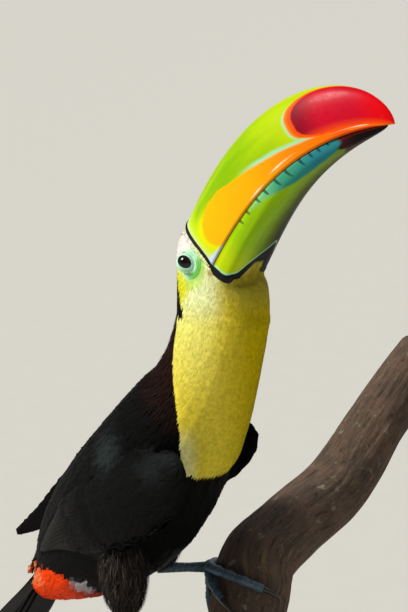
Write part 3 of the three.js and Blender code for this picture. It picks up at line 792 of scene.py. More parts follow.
WING_FLESH = ["wing_right_coverts", "wing_left_coverts"]
WING_QUILLS = ["wing_right_quills", "wing_left_quills"]
FLESH = [
    "head", "bill_collar", "neck", "throat_bib", "trunk", "uppertail_coverts", "undertail_coverts",
    "thigh_right", "thigh_left", *WING_FLESH, *WING_QUILLS,
]
QUILL_DEPTH = 0.5
COAT_DEPTH = {  # how far the skin lies under the solids, in millimetres
    "head": 0.2, "bill_collar": 0.3, "neck": 1.3, "throat_bib": 0.4, "trunk": 0.5,
    "uppertail_coverts": 1.4, "undertail_coverts": 1.4, "thigh_right": 1.4, "thigh_left": 1.4,
    **dict.fromkeys(WING_FLESH, 1.2), **dict.fromkeys(WING_QUILLS, QUILL_DEPTH),
}
SKIN_SWELL = 0.4  # how far the solids are swollen before they are joined, in millimetres
ACROSS_BIB = np.array([0.7071, -0.7071, 0])  # level, towards the bib's left side
BIB_SHIFT_DOWN = [-125, -100, -80, -60, -45, -30, -15]  # up from the bill's root, in millimetres
BIB_SHIFT = [2.0, 1.6, 0.9, 0.2, 0.1, 1.2, 2.0]  # how far the bib is pushed to its left there
THROAT_SHIFT = 2.0
shared = {}  # the skin's data, for the coat that grows on it


def pulled(items, field, width=1, kind=np.float32):
    """A field of all the items of a collection, with a row for each when it holds several numbers."""
    flat = np.zeros(len(items) * width, kind)
    items.foreach_get(field, flat)
    return flat if width == 1 else flat.reshape(-1, width)


def read_points(mesh):
    return pulled(mesh.vertices, "co", 3).astype(float)


def read_triangles(mesh):
    mesh.calc_loop_triangles()
    return pulled(mesh.loop_triangles, "vertices", 3, np.int32)


def write_points(mesh, points):
    mesh.vertices.foreach_set("co", np.asarray(points, np.float32).ravel())
    mesh.update()


def evened(values, edges, rounds, strength=0.5, back=0.0):
    """Values of the vertices, each moved towards its neighbours' mean, and with back against shrinking."""
    values = np.array(values, float)
    flat = values.reshape(len(values), -1)
    count = np.bincount(edges.ravel(), minlength=len(flat))[:, None]
    for turn in range(rounds):
        total = np.stack(
            [
                np.bincount(edges[:, 0], flat[edges[:, 1], i], len(flat))
                + np.bincount(edges[:, 1], flat[edges[:, 0], i], len(flat))
                for i in range(flat.shape[1])
            ],
            -1,
        )
        push = strength if not back or turn % 2 == 0 else -back
        flat = flat + push * (total / np.maximum(count, 1) - flat)
    return flat.reshape(values.shape)


def flesh_finder():
    """A search tree over the flesh solids, and which solid each of its triangles belongs to."""
    corners, triangles, owners = [], [], []
    for number, name in enumerate(FLESH):
        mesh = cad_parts[name].data
        tris = read_triangles(mesh)
        triangles += (tris + len(corners)).tolist()
        corners += read_points(mesh).tolist()
        owners += [number] * len(tris)
    return BVHTree.FromPolygons(corners, triangles), np.array(owners)


def one_surface():
    """The flesh solids, slightly swollen and joined in one closed mesh of even triangles."""
    bm = bmesh.new()
    for name in FLESH:
        bm.from_mesh(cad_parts[name].data)
    bmesh.ops.remove_doubles(bm, verts=bm.verts, dist=1e-5)
    bm.normal_update()
    for vert in bm.verts:
        vert.co += vert.normal * SKIN_SWELL * MM
    rough = bpy.data.objects.new("skin_source", mesh_of("skin_source", bm))
    bpy.context.scene.collection.objects.link(rough)
    remesh = rough.modifiers.new("Remesh", "REMESH")
    remesh.mode = "VOXEL"
    remesh.voxel_size = settings("plumage").skin_voxel
    mesh = bpy.data.meshes.new_from_object(rough.evaluated_get(bpy.context.evaluated_depsgraph_get()))
    bpy.data.objects.remove(rough)
    bm = bmesh.new()
    bm.from_mesh(mesh)
    bmesh.ops.delete(bm, geom=all_but_largest_shell(bm), context="VERTS")
    bm.to_mesh(mesh)
    bm.free()
    return mesh


def all_but_largest_shell(bm):
    """The vertices of every shell but the largest, such as bubbles left inside."""
    seen, shells = set(), []
    for start in bm.verts:
        if start in seen:
            continue
        shell, waiting = [], [start]
        seen.add(start)
        while waiting:
            vert = waiting.pop()
            shell.append(vert)
            for edge in vert.link_edges:
                other = edge.other_vert(vert)
                if other not in seen:
                    seen.add(other)
                    waiting.append(other)
        shells.append(shell)
    shells.sort(key=len)
    return [vert for shell in shells[:-1] for vert in shell]


def make_skin():
    """The skin: one smooth surface, drawn in from the solids by the coat's depth over each of them."""
    mesh = one_surface()
    edges = pulled(mesh.edges, "vertices", 2, np.int32)
    points = evened(read_points(mesh), edges, 24, 0.5, 0.51)
    tree, owners = flesh_finder()
    solid = np.array([owners[tree.find_nearest(p)[2]] for p in points])
    depth = np.array([COAT_DEPTH[name] for name in FLESH])[solid] + SKIN_SWELL
    depth = evened(depth, edges, 16) * MM
    write_points(mesh, points)
    points = points - pulled(mesh.vertices, "normal", 3) * depth[:, None]
    # the bib and the throat above it stand a little further to their left
    x, y, up = to_head(points).T / MM
    throat = smooth(up, -9, -16) * smooth(y, -8, 6) * smooth(x, 4, -2) * smooth(x, -30, -16) * THROAT_SHIFT
    bib = np.interp((points - BILL_ROOT)[:, 2] / MM, BIB_SHIFT_DOWN, BIB_SHIFT)
    shift = np.maximum(throat, (solid == FLESH.index("throat_bib")) * bib)
    points = points + evened(shift, edges, 20)[:, None] * (ACROSS_BIB * MM)
    points = evened(points, edges, 6, 0.5, 0.51)
    write_points(mesh, points)
    shared.update(mesh=mesh, points=points, solid=solid, edges=edges, tree=skin_tree(mesh))
    return mesh


def skin_tree(mesh):
    bm = bmesh.new()
    bm.from_mesh(mesh)
    tree = BVHTree.FromBMesh(bm)
    bm.free()
    return tree


def joined_tree(*meshes):
    """One search tree over several meshes."""
    corners, faces = [], []
    for mesh in meshes:
        start = len(corners)
        corners += read_points(mesh).tolist()
        faces += [[start + i for i in polygon.vertices] for polygon in mesh.polygons]
    return BVHTree.FromPolygons(corners, faces)


# ------------------------------------------------------------------ markings of the plumage

# The bare skin round the eye, in the bill's frame and in millimetres: its middle, and how far it reaches.
BARE_X, BARE_UP, BARE_REACH = -7.6, 13.2, 8.6
CHIN_STREAKS = [  # how far to the left in millimetres, how strong, and how far back it runs
    (-16.3, 0.6, 9), (-13.4, 0.4, 6), (-10.2, 0.25, 5), (-5, 0.2, 5),
    (3, 0.25, 6), (8, 0.4, 8), (10.6, 0.8, 12),
]
# Where the black cap starts: how far forward of the bill's root, and how high there, in metres.
CAP_FORWARD = [-0.034, -0.028, -0.0255, -0.022, -0.019, -0.0114, -0.0056, 0.004]
CAP_RISE = [0, 0.0085, 0.0115, 0.0168, 0.0205, 0.0265, 0.03, 0.0325]
BIB_END = -124  # how low the bib reaches below the bill's root, in millimetres
VENT_FRONT = (94, 99)  # how far back of the bill's root the vent's red starts, in millimetres
VENT_BACK = [84, 100, 110, 120, 132, 152]
VENT_FRINGE = [-212, -204.5, -200.5, -197.5, -199, -203.5]  # how high it reaches there
# Painted highlight: the pale patch in front of the vent, its middle:
FLANK_HIGHLIGHT = (102.5, -204.5)  # back and up from the bill's root
# Painted sheens, highlights laid into the black of the mantle and the wing's bend: middle and reach in
# millimetres, and strength.
PAINTED_SHEENS = [((-38, 58, -107), 20, 0.42), ((-41, 14, -108), 17, 0.14)]


def side_of_eye(place):
    """Places in the bill's frame as forward, outward and upward from the eye of their own side."""
    return np.stack([place[:, 0] - EYE[0], np.abs(place[:, 1]) - EYE[1], place[:, 2] - EYE[2]], -1)


def from_bare(x, up, squash):
    """How far places are from the middle of the bare skin, which is lower than it is long."""
    return np.hypot(x - BARE_X, (up - BARE_UP) * np.where(up > BARE_UP, squash, 1))


def laid(base, mask, value):
    """Colours with another laid over them, as far as mask says."""
    mask = np.clip(mask, 0, 1)[:, None]
    return base * (1 - mask) + value * mask


def all_laid(base, layers, tone):
    for mask, name in layers:
        base = laid(base, mask, tone[name])
    return base


def bib_colour(body, tone):
    """Yellow, paler towards the face, deeper olive on the left as painted shade, cream wisps low on the
    right.
    """
    down, across = body[:, 2], (body * ACROSS_BIB).sum(1)
    return all_laid(tone["bib"], [
        (smooth(down, -80, -24) * smooth(across, 0, -20), "bib_pale"),
        (smooth(down, -34, -12) * smooth(across, 0, -15), "cheek"),
        # painted shade on the left side, away from the light
        (smooth(across, -12, 16), "olive"),
        (smooth(down, -84, -104) * smooth(across, -15, -24) * 0.95, "wisp"),
    ], tone)


def face_colour(skin, x, y, up, tone):
    """Lore, cheek, bare skin round the eye, gape, chin and cap, at places in the bill's frame, in mm."""
    away = from_bare(x, up, 1.16)
    low = (0.12 * (x - BARE_X) - 0.99 * (up - BARE_UP)) / np.maximum(away, 0.5)
    gape = np.hypot(x + 2.4, (up + 0.4) * 0.8)
    cap = smooth(up * MM - np.interp(x * MM, CAP_FORWARD, CAP_RISE), -0.6 * MM, 0.6 * MM)
    below_bill = up < -6
    streaks = [
        (
            smooth(np.abs(y - across), 1.6, 0.2) * smooth(x, -reach, -reach * 0.3) * below_bill * strength,
            "streak",
        )
        for across, strength, reach in CHIN_STREAKS
    ]
    return all_laid(skin, [
        (smooth(up, 14, 20), "lore"),
        (smooth(x, -11, -17) * smooth(up, 3, 10), "gold"),
        (smooth(away, 12, 8.8) * 0.85 * smooth(up, 14, 6), "lime"),
        (smooth(away, 9.2, 7.4), "mint"),
        (smooth(away, 3.6, 6) * smooth(away, 8.8, 7.8) * smooth(low, 0.2, 0.8), "leaf"),
        (smooth(gape, 2.2, 0.9) * 0.8, "gape"),
        *streaks,
        # painted shade: olive brown under the bill
        (smooth(up, -6, -11) * smooth(x, -14, -3) * 0.55, "chin"),
        (cap, "black"),
    ], tone)


def plumage(points, solid):
    """The linear colour of the plumage at places on the skin, from the solid each belongs to."""
    kinds = settings("plumage")
    tone = {
        name: np.array(getattr(kinds, name))
        for name, field in kinds.bl_rna.properties.items()
        if field.type == "FLOAT" and field.is_array
    }
    solid = np.array(FLESH)[solid]
    share, _ = along_and_round(points)
    body = points / MM - BILL_ROOT / MM
    # nape, warmest on the side of the neck
    nape = (solid == "neck") * smooth(share / MM, 122, 58) * smooth(share / MM, 26, 48)
    colour = laid(np.tile(tone["black"], (len(points), 1)), nape * 0.8, tone["nape"])
    bib = bib_colour(body, tone)
    colour = np.where(((solid == "throat_bib") & (body[:, 2] > BIB_END))[:, None], bib, colour)
    on_face = np.isin(solid, ["head", "bill_collar"])
    colour = np.where(on_face[:, None], face_colour(bib, *(to_head(points) / MM).T, tone), colour)

    across, back, up = body.T
    under = np.isin(solid, ["trunk", "undertail_coverts", "uppertail_coverts"])
    vent = under * smooth(back, *VENT_FRONT) * smooth(up - np.interp(back, VENT_BACK, VENT_FRINGE), 0.8, -0.8)
    # a painted highlight in front of the vent
    lilac = smooth(np.hypot((back - FLANK_HIGHLIGHT[0]) * 0.7, up - FLANK_HIGHLIGHT[1]), 6.5, 2.5)
    # the solids that take the painted sheen: all but the bib and the head
    shiny = ~np.isin(solid, ["throat_bib", "head"])
    colour = all_laid(colour, [
        ((solid == "uppertail_coverts") * smooth(np.abs(across), 13, 9), "rump"),
        (vent, "vent"),
        (vent * smooth(back, 120, 104) * 0.7, "vent_dark"),
        # painted highlight at the rear end of the vent
        (vent * smooth(back, 136, 150) * smooth(up, -220, -210) * 0.9, "vent_pale"),
        ((solid == "trunk") * lilac * 0.85, "lilac"),
        # painted highlights on the mantle and the wing's bend
        *((shiny * smooth(np.linalg.norm(body - middle, axis=1), reach, 0) * strength, "sheen")
          for middle, reach, strength in PAINTED_SHEENS),
    ], tone)
    return np.where(np.char.startswith(solid, "thigh")[:, None], tone["thigh"], colour)


def lie(points, solid):
    """The direction that feathers point at each place."""
    names = np.array(FLESH)[solid]
    way = spine.tangent(spine.near(points))
    for side, wing in WINGS.items():
        axis = unit(mm(wing["tip"]) - mm(wing["bend"]))
        way[np.isin(names, [f"wing_{side}_coverts", f"wing_{side}_quills"])] = axis
        leg = LEGS[side]
        way[names == f"thigh_{side}"] = unit(mm(leg["heel"]) - mm(leg["knee"]))
    # on the face, back from the bill, and spreading from the eye
    eye = side_of_eye(to_head(points))
    away = eye * [1, 0, 1]
    turned = unit(away) * smooth(np.linalg.norm(away, axis=1), 0.022, 0.006)[:, None]
    turned[:, 2] += -0.35 * smooth(-eye[:, 2], 0, 0.012)
    face = np.isin(names, ["head", "bill_collar"])
    way[face] = unit(BACK + (turned @ HEAD.T) * 0.9)[face]
    return unit(way)


# ------------------------------------------------------------------ coat

BACK = HEAD @ np.array([-1.0, 0, 0])
BLUNT, FINE = (5, 4), (3, 3)  # stations along a vane, and faces round it
TRUNK_COATS = [  # from and to, as shares of the spine's length
    ("breast", -0.1, 0.36), ("mantle", 0.36, 0.52), ("back", 0.52, 0.68), ("flank", 0.68, 1.01),
]
CROWDING = 2.4  # places tried for each that would fit
CLOSEST = 0.82  # of the spacing


def scattered(mask, spacing, seed, mesh=None):
    """Random places on the skin's faces where mask holds for their first corner, at least a spacing apart."""
    solids = shared["solid"] if mesh is None else np.zeros(len(mask), int)
    mesh = mesh or shared["mesh"]
    tris = read_triangles(mesh)
    tris = tris[mask[tris[:, 0]]]
    corner = read_points(mesh)[tris]
    area = np.linalg.norm(np.cross(corner[:, 1] - corner[:, 0], corner[:, 2] - corner[:, 0]), axis=1) / 2
    random = np.random.RandomState(seed)
    count = int(area.sum() / spacing**2 * CROWDING)
    chosen = random.choice(len(tris), count, p=area / area.sum())
    a, b = random.rand(2, count)
    over = a + b > 1
    a[over], b[over] = 1 - a[over], 1 - b[over]
    spots = corner[chosen, 0] + a[:, None] * (corner[chosen, 1] - corner[chosen, 0])
    spots += b[:, None] * (corner[chosen, 2] - corner[chosen, 0])
    taken, kept = {}, []
    limit = (spacing * CLOSEST) ** 2
    around = [(i, j, k) for i in (-1, 0, 1) for j in (-1, 0, 1) for k in (-1, 0, 1)]
    cells = map(tuple, np.floor(spots / spacing).astype(int).tolist())

    def free(cell, spot):
        for i, j, k in around:
            for x, y, z in taken.get((cell[0] + i, cell[1] + j, cell[2] + k), ()):
                if (spot[0] - x) ** 2 + (spot[1] - y) ** 2 + (spot[2] - z) ** 2 < limit:
                    return False
        return True

    for number, (cell, spot) in enumerate(zip(cells, spots.tolist())):
        if free(cell, spot):
            taken.setdefault(cell, []).append(spot)
            kept.append(number)
    return spots[kept], solids[tris[chosen[kept], 0]]


def vane_shape(steps, sides, outline):
    """One feather's vane as a thin closed leaf: along, across and through it, from -1 to 1 across."""

    def place(t, angle):
        return Vector((t, math.cos(angle) * outline(t), math.sin(angle) * (0.15 + 0.85 * (1 - t))))

    bm = bmesh.new()
    tube_into(bm, steps, sides, place)
    bmesh.ops.triangulate(bm, faces=bm.faces)
    mesh = mesh_of("vane", bm)
    points, faces = read_points(mesh), pulled(mesh.polygons, "vertices", 3, np.int32)
    bpy.data.meshes.remove(mesh)
    return points, faces


def blunt(t):
    """The outline of a body feather: narrow at its root, broad and rounded at its end."""
    swell = 0.25 + 0.75 * math.sin(math.pi * min(t / 1.3, 0.5))
    return swell * math.sqrt(max(0.0, 1 - (max(t - 0.45, 0) / 0.55) ** 2.4)) + 0.02


def slender(t):
    """The outline of a hair-like feather, widest in its middle and pointed at its end."""
    return (0.35 + 0.65 * math.sin(math.pi * min(t * 1.1, 0.5))) * (1 - t**1.7) ** 0.8 + 0.03


def vane_paths(spots, way, turn, length, stations, tree):
    """Where each vane's stations lie on the skin, the skin's normal there, and the way the vane runs."""
    path = np.zeros((len(spots), len(stations), 3))
    up, ahead = np.zeros_like(path), np.zeros_like(path)
    for i in range(len(spots)):
        spot, direction, before = Vector(spots[i]), Vector(way[i]), 0.0
        for k, share in enumerate(stations):
            if k:
                spot = spot + direction * float((share - before) * length[i])
                before = share
            spot, normal, _, _ = tree.find_nearest(spot)
            direction = direction - normal * direction.dot(normal)
            direction.normalize()
            if not k:
                direction.rotate(Quaternion(normal, float(turn[i])))
            path[i, k], up[i, k], ahead[i, k] = spot, normal, direction
    return path, up, ahead


def grow(name, spots, solid, shape, material, slot, seed, *, length, width, lift, thick, spread, soft=0.75,
         jitter=0.06, way=None, tints=None, tree=None):
    """One coat: a vane at each place, bent along the skin, all joined in one mesh.
    length, width, lift and thick are millimetres, the first three one number or one for each place; spread is
    how far vanes turn from their lie, soft how far the shading follows the skin, jitter how tints vary."""
    points, faces = shape
    random = np.random.RandomState(seed)
    count, size = len(spots), len(points)
    way = lie(spots, solid) if way is None else way
    turn = random.normal(0, spread, count)
    length = np.broadcast_to(length, count) * MM * random.uniform(0.8, 1.2, count)
    width = np.broadcast_to(width, count) * MM * random.uniform(0.8, 1.2, count)
    lift = np.broadcast_to(lift, count) * MM * random.uniform(0.7, 1.25, count)
    stations = np.unique(np.round(points[:, 0], 5))
    station_of = np.searchsorted(stations, np.round(points[:, 0], 5))
    path, up, ahead = vane_paths(spots, way, turn, length, stations, tree or shared["tree"])
    across = unit(np.cross(up, ahead))
    s, w, h = points.T
    at = path[:, station_of] + across[:, station_of] * (w * width[:, None])[:, :, None]
    cup = 0.22 * (w**2)[None, :] * width[:, None]
    height = lift[:, None] * (0.12 + 0.88 * s[None, :] ** 0.8) - cup * 0.6 + h[None, :] * thick * MM
    at = at + up[:, station_of] * height[:, :, None]
    mesh = bpy.data.meshes.new(name)
    corners = (faces[None] + (np.arange(count) * size)[:, None, None]).reshape(-1, 3)
    mesh.vertices.add(count * size)
    mesh.vertices.foreach_set("co", at.reshape(-1, 3).astype(np.float32).ravel())
    mesh.loops.add(corners.size)
    mesh.loops.foreach_set("vertex_index", corners.ravel().astype(np.int32))
    mesh.polygons.add(len(corners))
    mesh.polygons.foreach_set("loop_start", np.arange(0, corners.size, 3, dtype=np.int32))
    mesh.polygons.foreach_set("loop_total", np.full(len(corners), 3, np.int32))
    mesh.update(calc_edges=True)
    # each vane's small patch of the skin's unwrap, and its own across-and-along for the barbs
    u, v = unwrapped(spots)
    owner, part = np.divmod(corners.ravel(), size)
    patch = np.stack([u[owner] + w[part] * 0.0015, v[owner] + (s[part] - 0.5) * 0.003], -1)
    vane = np.stack([w[part] * 0.5 + 0.5, s[part]], -1)
    for layer, values in ("OFBake", patch), ("Vane", vane):
        mesh.uv_layers.new(name=layer).data.foreach_set("uv", values.astype(np.float32).ravel())
    tints = plumage(spots, solid) if tints is None else tints
    light = random.normal(1, jitter, count).clip(0.7, 1.3)
    set_values(mesh, "tint", np.repeat(tints * light[:, None], size, 0), "FLOAT_COLOR")
    placed(name, mesh, [material], slot)
    own = pulled(mesh.vertices, "normal", 3).astype(float).reshape(count, size, 3)
    over = (h > -0.01)[None, :, None] * soft
    normals = unit(own * (1 - over) + up[:, station_of] * over).reshape(-1, 3)
    mesh.normals_split_custom_set_from_vertices(normals.tolist())


def unwrapped(places):
    """The skin opened out along the belly: round the body, and down it, both within 0.02 to 0.98."""
    down, turned = along_and_round(places)
    return 0.5 + turned / (2 * math.pi) * 0.96, 0.02 + 0.96 * np.clip(down / spine.length, 0, 1)


def feather_paint(name, roughness, specular, barbs=0.35, streak=(0.75, 1.2)):
    """Feather: its own tint, darker between the barbs."""
    paint = Paint(name, roughness, specular)
    barb = paint.noise(paint.place("Vane", (26, 3, 1)), 1.0, 3, 0.6)
    mottle = paint.step(paint.grain(420, 3, 0.6), 0.3, 0.7, (0.86, 1.12))
    shade = paint.times(paint.step(barb, 0.3, 0.72, streak), mottle)
    grey = paint.node("CombineColor", {0: shade, 1: shade, 2: shade}).outputs[0]
    paint.colour = paint.mix(1.0, paint.attribute("tint", "Color"), grey, "MULTIPLY")
    return paint.done(bump=barb, strength=barbs, distance=0.12 * MM)


def skin_paint():
    paint = Paint("skin_under_coat", roughness=0.75, specular=0.05)
    fine = paint.grain(700, 4, 0.65)
    tint = paint.attribute("tint", "Color")
    paint.colour = paint.mix(paint.step(fine, 0.3, 0.75, (0, 0.15)), tint, "2a2018")
    return paint.done(bump=fine, strength=0.5, distance=0.25 * MM)


class TOUCAN_OT_skin(bpy.types.Operator):
    """The skin of head, body, legs and shoulders in one piece, under the feathers"""

    bl_idname = "toucan.skin"
    bl_label = "Skin"

    def execute(self, context):
        mesh = make_skin()
        tints = evened(plumage(shared["points"], shared["solid"]), shared["edges"], 2)
        set_values(mesh, "tint", tints, "FLOAT_COLOR")
        flesh = [name for name in FLESH if name not in WING_QUILLS]
        placed("skin", mesh, [skin_paint()], "plumage_black", flesh)
        return {"FINISHED"}


def region(*names):
    wanted = [FLESH.index(name) for name in names]
    return np.isin(shared["solid"], wanted)


def bare_round_eye(points):
    """True where the skin round the eye is bare."""
    x, _, up = to_head(points).T / MM
    return from_bare(x, up, 1.1) < 8.2


class TOUCAN_OT_coat(bpy.types.Operator):
    """Feathers of the head, neck, bib, back, belly, rump and thighs"""

    bl_idname = "toucan.coat"
    bl_label = "Coat"

    def execute(self, context):
        self.leaf = vane_shape(*BLUNT, blunt)
        self.point = vane_shape(*FINE, slender)
        skin = feather_paint("face_skin", 0.7, 0.05, barbs=0.1, streak=(0.92, 1.05))
        self.face(skin, settings("plumage").face_spacing)
        self.bib(settings("plumage").bib_spacing)
        self.bill_root(skin, 0.8 * MM)
        self.body(settings("plumage").body_spacing)
        self.thighs(settings("plumage").body_spacing * 0.6)
        return {"FINISHED"}

    def face(self, paint, spacing):
        mask = region("head", "bill_collar") & ~bare_round_eye(shared["points"])
        spots, solid = scattered(mask, spacing, 3)
        keep = ~bare_round_eye(spots)
        spots, solid = spots[keep], solid[keep]
        near_bill = smooth(to_head(spots)[:, 0] / MM, -12, -2)
        grow("face_feathers", spots, solid, self.point, paint, "face_skin", 4, length=4.8 - 2.4 * near_bill,
             width=0.62 - 0.2 * near_bill, lift=0.28 - 0.05 * near_bill, thick=0.04, spread=0.07, soft=0.93,
             jitter=0.02)

    def bill_root(self, paint, spacing):
        """Short vanes that run from the face onto the bill, under it and along its edge."""
        for seed, (name, mark, length) in enumerate((("chin", "chin", 4.6), ("lore", "root", 2.2))):
            mesh, inside = shared[mark]
            spots, solid = scattered(inside > 0.1, spacing, 25 + seed, mesh)
            grow(f"{name}_feathers", spots, solid, self.point, paint, "face_skin", 27 + seed, length=length,
                 width=0.5, lift=0.45, thick=0.05, spread=0.1, way=np.tile(BACK, (len(spots), 1)),
                 tree=joined_tree(mesh, shared["mesh"]), jitter=0.04)

    def bib(self, spacing):
        """The bib's vanes, longer away from its edge, and none along its edge."""
        paint = feather_paint("plumage_bib", 0.8, 0.03, barbs=0.06, streak=(0.96, 1.03))
        spots, solid = scattered(region("throat_bib"), spacing, 5)
        inside = evened(region("throat_bib", "head", "bill_collar").astype(float), shared["edges"], 24)
        faces, tree = shared["mesh"].polygons, shared["tree"]
        inside = inside[[faces[tree.find_nearest(spot)[2]].vertices[0] for spot in spots]]
        kept = ((spots - BILL_ROOT)[:, 2] > (BIB_END + 5) * MM) & (inside > 0.56)
        spots, solid, inside = spots[kept], solid[kept], inside[kept]
        grow("bib_feathers", spots, solid, self.point, paint, "plumage_bib", 6, width=0.85, lift=0.28,
             thick=0.03, length=3.6 + 4.4 * smooth(inside, 0.6, 0.95), spread=0.05, soft=0.97, jitter=0.015)

    def body(self, spacing):
        nape = feather_paint("plumage_nape", 0.65, 0.05)
        spots, solid = scattered(region("neck"), spacing * 0.7, 7)
        grow("nape_feathers", spots, solid, self.point, nape, "plumage_nape", 8, length=8.5, width=1.1,
             lift=1.1, thick=0.07, spread=0.1)

        black = feather_paint("plumage_black", 0.6, 0.04)
        down = spine.near(shared["points"])
        for seed, (name, low, high) in enumerate(TRUNK_COATS):
            spots, solid = scattered(region("trunk") & (down >= low) & (down < high), spacing, 31 + seed)
            grow(f"{name}_feathers", spots, solid, self.leaf, black, "plumage_black", 41 + seed, length=11.0,
                 width=1.9, lift=1.0, thick=0.08, spread=0.1, soft=0.78)

        white = feather_paint("plumage_rump", 0.65, 0.2)
        spots, solid = scattered(region("uppertail_coverts"), spacing * 0.8, 13)
        grow("rump_feathers", spots, solid, self.leaf, white, "plumage_rump", 14, length=12.0, width=2.2,
             lift=1.2, thick=0.1, spread=0.12, soft=0.7)
        red = feather_paint("plumage_vent", 0.65, 0.04)
        spots, solid = scattered(region("undertail_coverts"), spacing * 0.7, 15)
        grow("vent_feathers", spots, solid, self.point, red, "plumage_vent", 16, length=10.0, width=1.5,
             lift=1.3, thick=0.08, spread=0.16, soft=0.7)

    def thighs(self, spacing):
        """Loose sooty vanes, of which a few are paler wisps."""
        sooty = feather_paint("plumage_thigh", 0.75, 0.05)
        spots, solid = scattered(region("thigh_right", "thigh_left"), spacing, 17)
        tints = plumage(spots, solid)
        wispy = np.random.RandomState(19).rand(len(spots)) < 0.22
        tints[wispy] = rgb("544c47")
        grow("thigh_feathers", spots, solid, self.point, sooty, "plumage_thigh", 18, length=12.0,
             width=0.5 - 0.15 * wispy, lift=2.8, thick=0.06, spread=0.26, soft=0.6, tints=tints, jitter=0.2)


# ------------------------------------------------------------------ wings

# The quills of a folded wing, in the order they are laid on one another: the share of the wing's length at
# which each ends, and its place across the wing, from 0 at the lower edge to 1 at the upper one, where it
# starts and where it ends.
QUILLS = [
    (1.0, 0.10, 0.45), (0.975, 0.06, 0.40), (0.945, 0.03, 0.34), (0.91, 0.0, 0.28), (0.87, -0.02, 0.22),
    (0.83, -0.02, 0.17), (0.79, -0.01, 0.13), (0.75, 0.0, 0.1), (0.965, 0.26, 0.62), (0.925, 0.36, 0.7),
    (0.885, 0.46, 0.76), (0.845, 0.55, 0.8), (0.805, 0.64, 0.83), (0.765, 0.72, 0.86), (0.725, 0.8, 0.88),
    (0.68, 0.88, 0.9),
]
QUILL_START = 0.34
QUILL_WIDTH = 0.19  # half width, as a share of the wing's
QUILL_SUNK = -2.4  # under the coverts, in millimetres out from the wing's face
QUILL_RISEN, QUILL_STEP = 0.1, 0.11  # beyond them, and how much higher each quill lies than the last
COVERTS_END = 0.52  # of the wing's length


def wing_frame(side):
    wing = WINGS[side]
    start = BILL_ROOT + mm(wing["bend"])
    span = mm(wing["tip"]) - mm(wing["bend"])
    length = np.linalg.norm(span)
    axis = span / length
    outward = unit(np.array([wing["side"], 0, 0.0]) - axis * wing["side"] * axis[0])
    backward = np.cross(outward, axis) * wing["side"]
    return start, length, axis, outward, backward


def wing_point(side, along, offset, out):
    """A place on a folded wing: the share of its length, and metres towards the back and outwards."""
    start, length, axis, outward, backward = wing_frame(side)
    bulge = WING_BOW * math.sin(math.pi * along) - offset**2 / (2 * WING_WRAP)
    return start + axis * along * length + backward * offset + outward * (bulge - WING_SUNK + out)


def wing_outline(side, along):
    """How far the folded wing spreads to its lower and its upper edge, in metres."""
    wing = WINGS[side]
    top = wing["above"] * MM * (1 - 0.94 * ease(along, 0.62, 1.08))
    bottom = wing["below"] * MM * (1 - 0.96 * ease(along, 0.35, 1.05))
    return bottom, top


def wing_face(side, along, offset):
    """How far out the wing's own surface is at a place on it, in metres, less the skin's depth under it."""
    bottom, top = wing_outline(side, along)
    across = (offset - (top - bottom) / 2) / ((top + bottom) / 2)
    thick = mix(*WING_THICK, math.sqrt(along)) / 2
    return thick * math.sqrt(max(0.0, 1 - min(1.0, abs(across)) ** 2)) - QUILL_DEPTH * MM


def quill_outline(t, tip):
    """Half width of a quill's vane at share t: narrow where it leaves the coverts, with a rounded end."""
    end = math.sqrt(max(0.0, 1 - (max(t - (1 - tip), 0) / tip) ** 2))
    return (0.55 + 0.45 * ease(t, 0, 0.35)) * end + 0.01


def quill_into(bm, place, along, tip):
    """Adds one quill: place(t, across, out) puts its points; a shaft runs down its middle."""

    def point(t, angle):
        across = math.cos(angle)
        shaft = math.exp(-((across / 0.09) ** 2)) * 0.35 * (1 - t) * MM
        barb = 0.28 * MM * (1 - 0.5 * t)
        return Vector(place(t, across * quill_outline(t, tip), math.sin(angle) * (barb + shaft)))

    tube_into(bm, along, 10, point)


def quill_paint(name, worn):
    paint = Paint(name, roughness=0.5, specular=0.07)
    barbs = paint.waves(paint.place("Wrap", (46, 3, 1)), 1.5, 2)
    fine = paint.noise(paint.place("Wrap", (5, 150, 1)), 1.0, 3)
    paint.colour = paint.mix(paint.step(fine, 0.35, 0.7), "050505", "0c0b0b")
    paint.over(paint.step(paint.grain(60, 2), 0.5, 0.75, (0, 0.4)), worn)
    return paint.done(bump=paint.sum(barbs, fine), strength=0.25, distance=0.15 * MM)


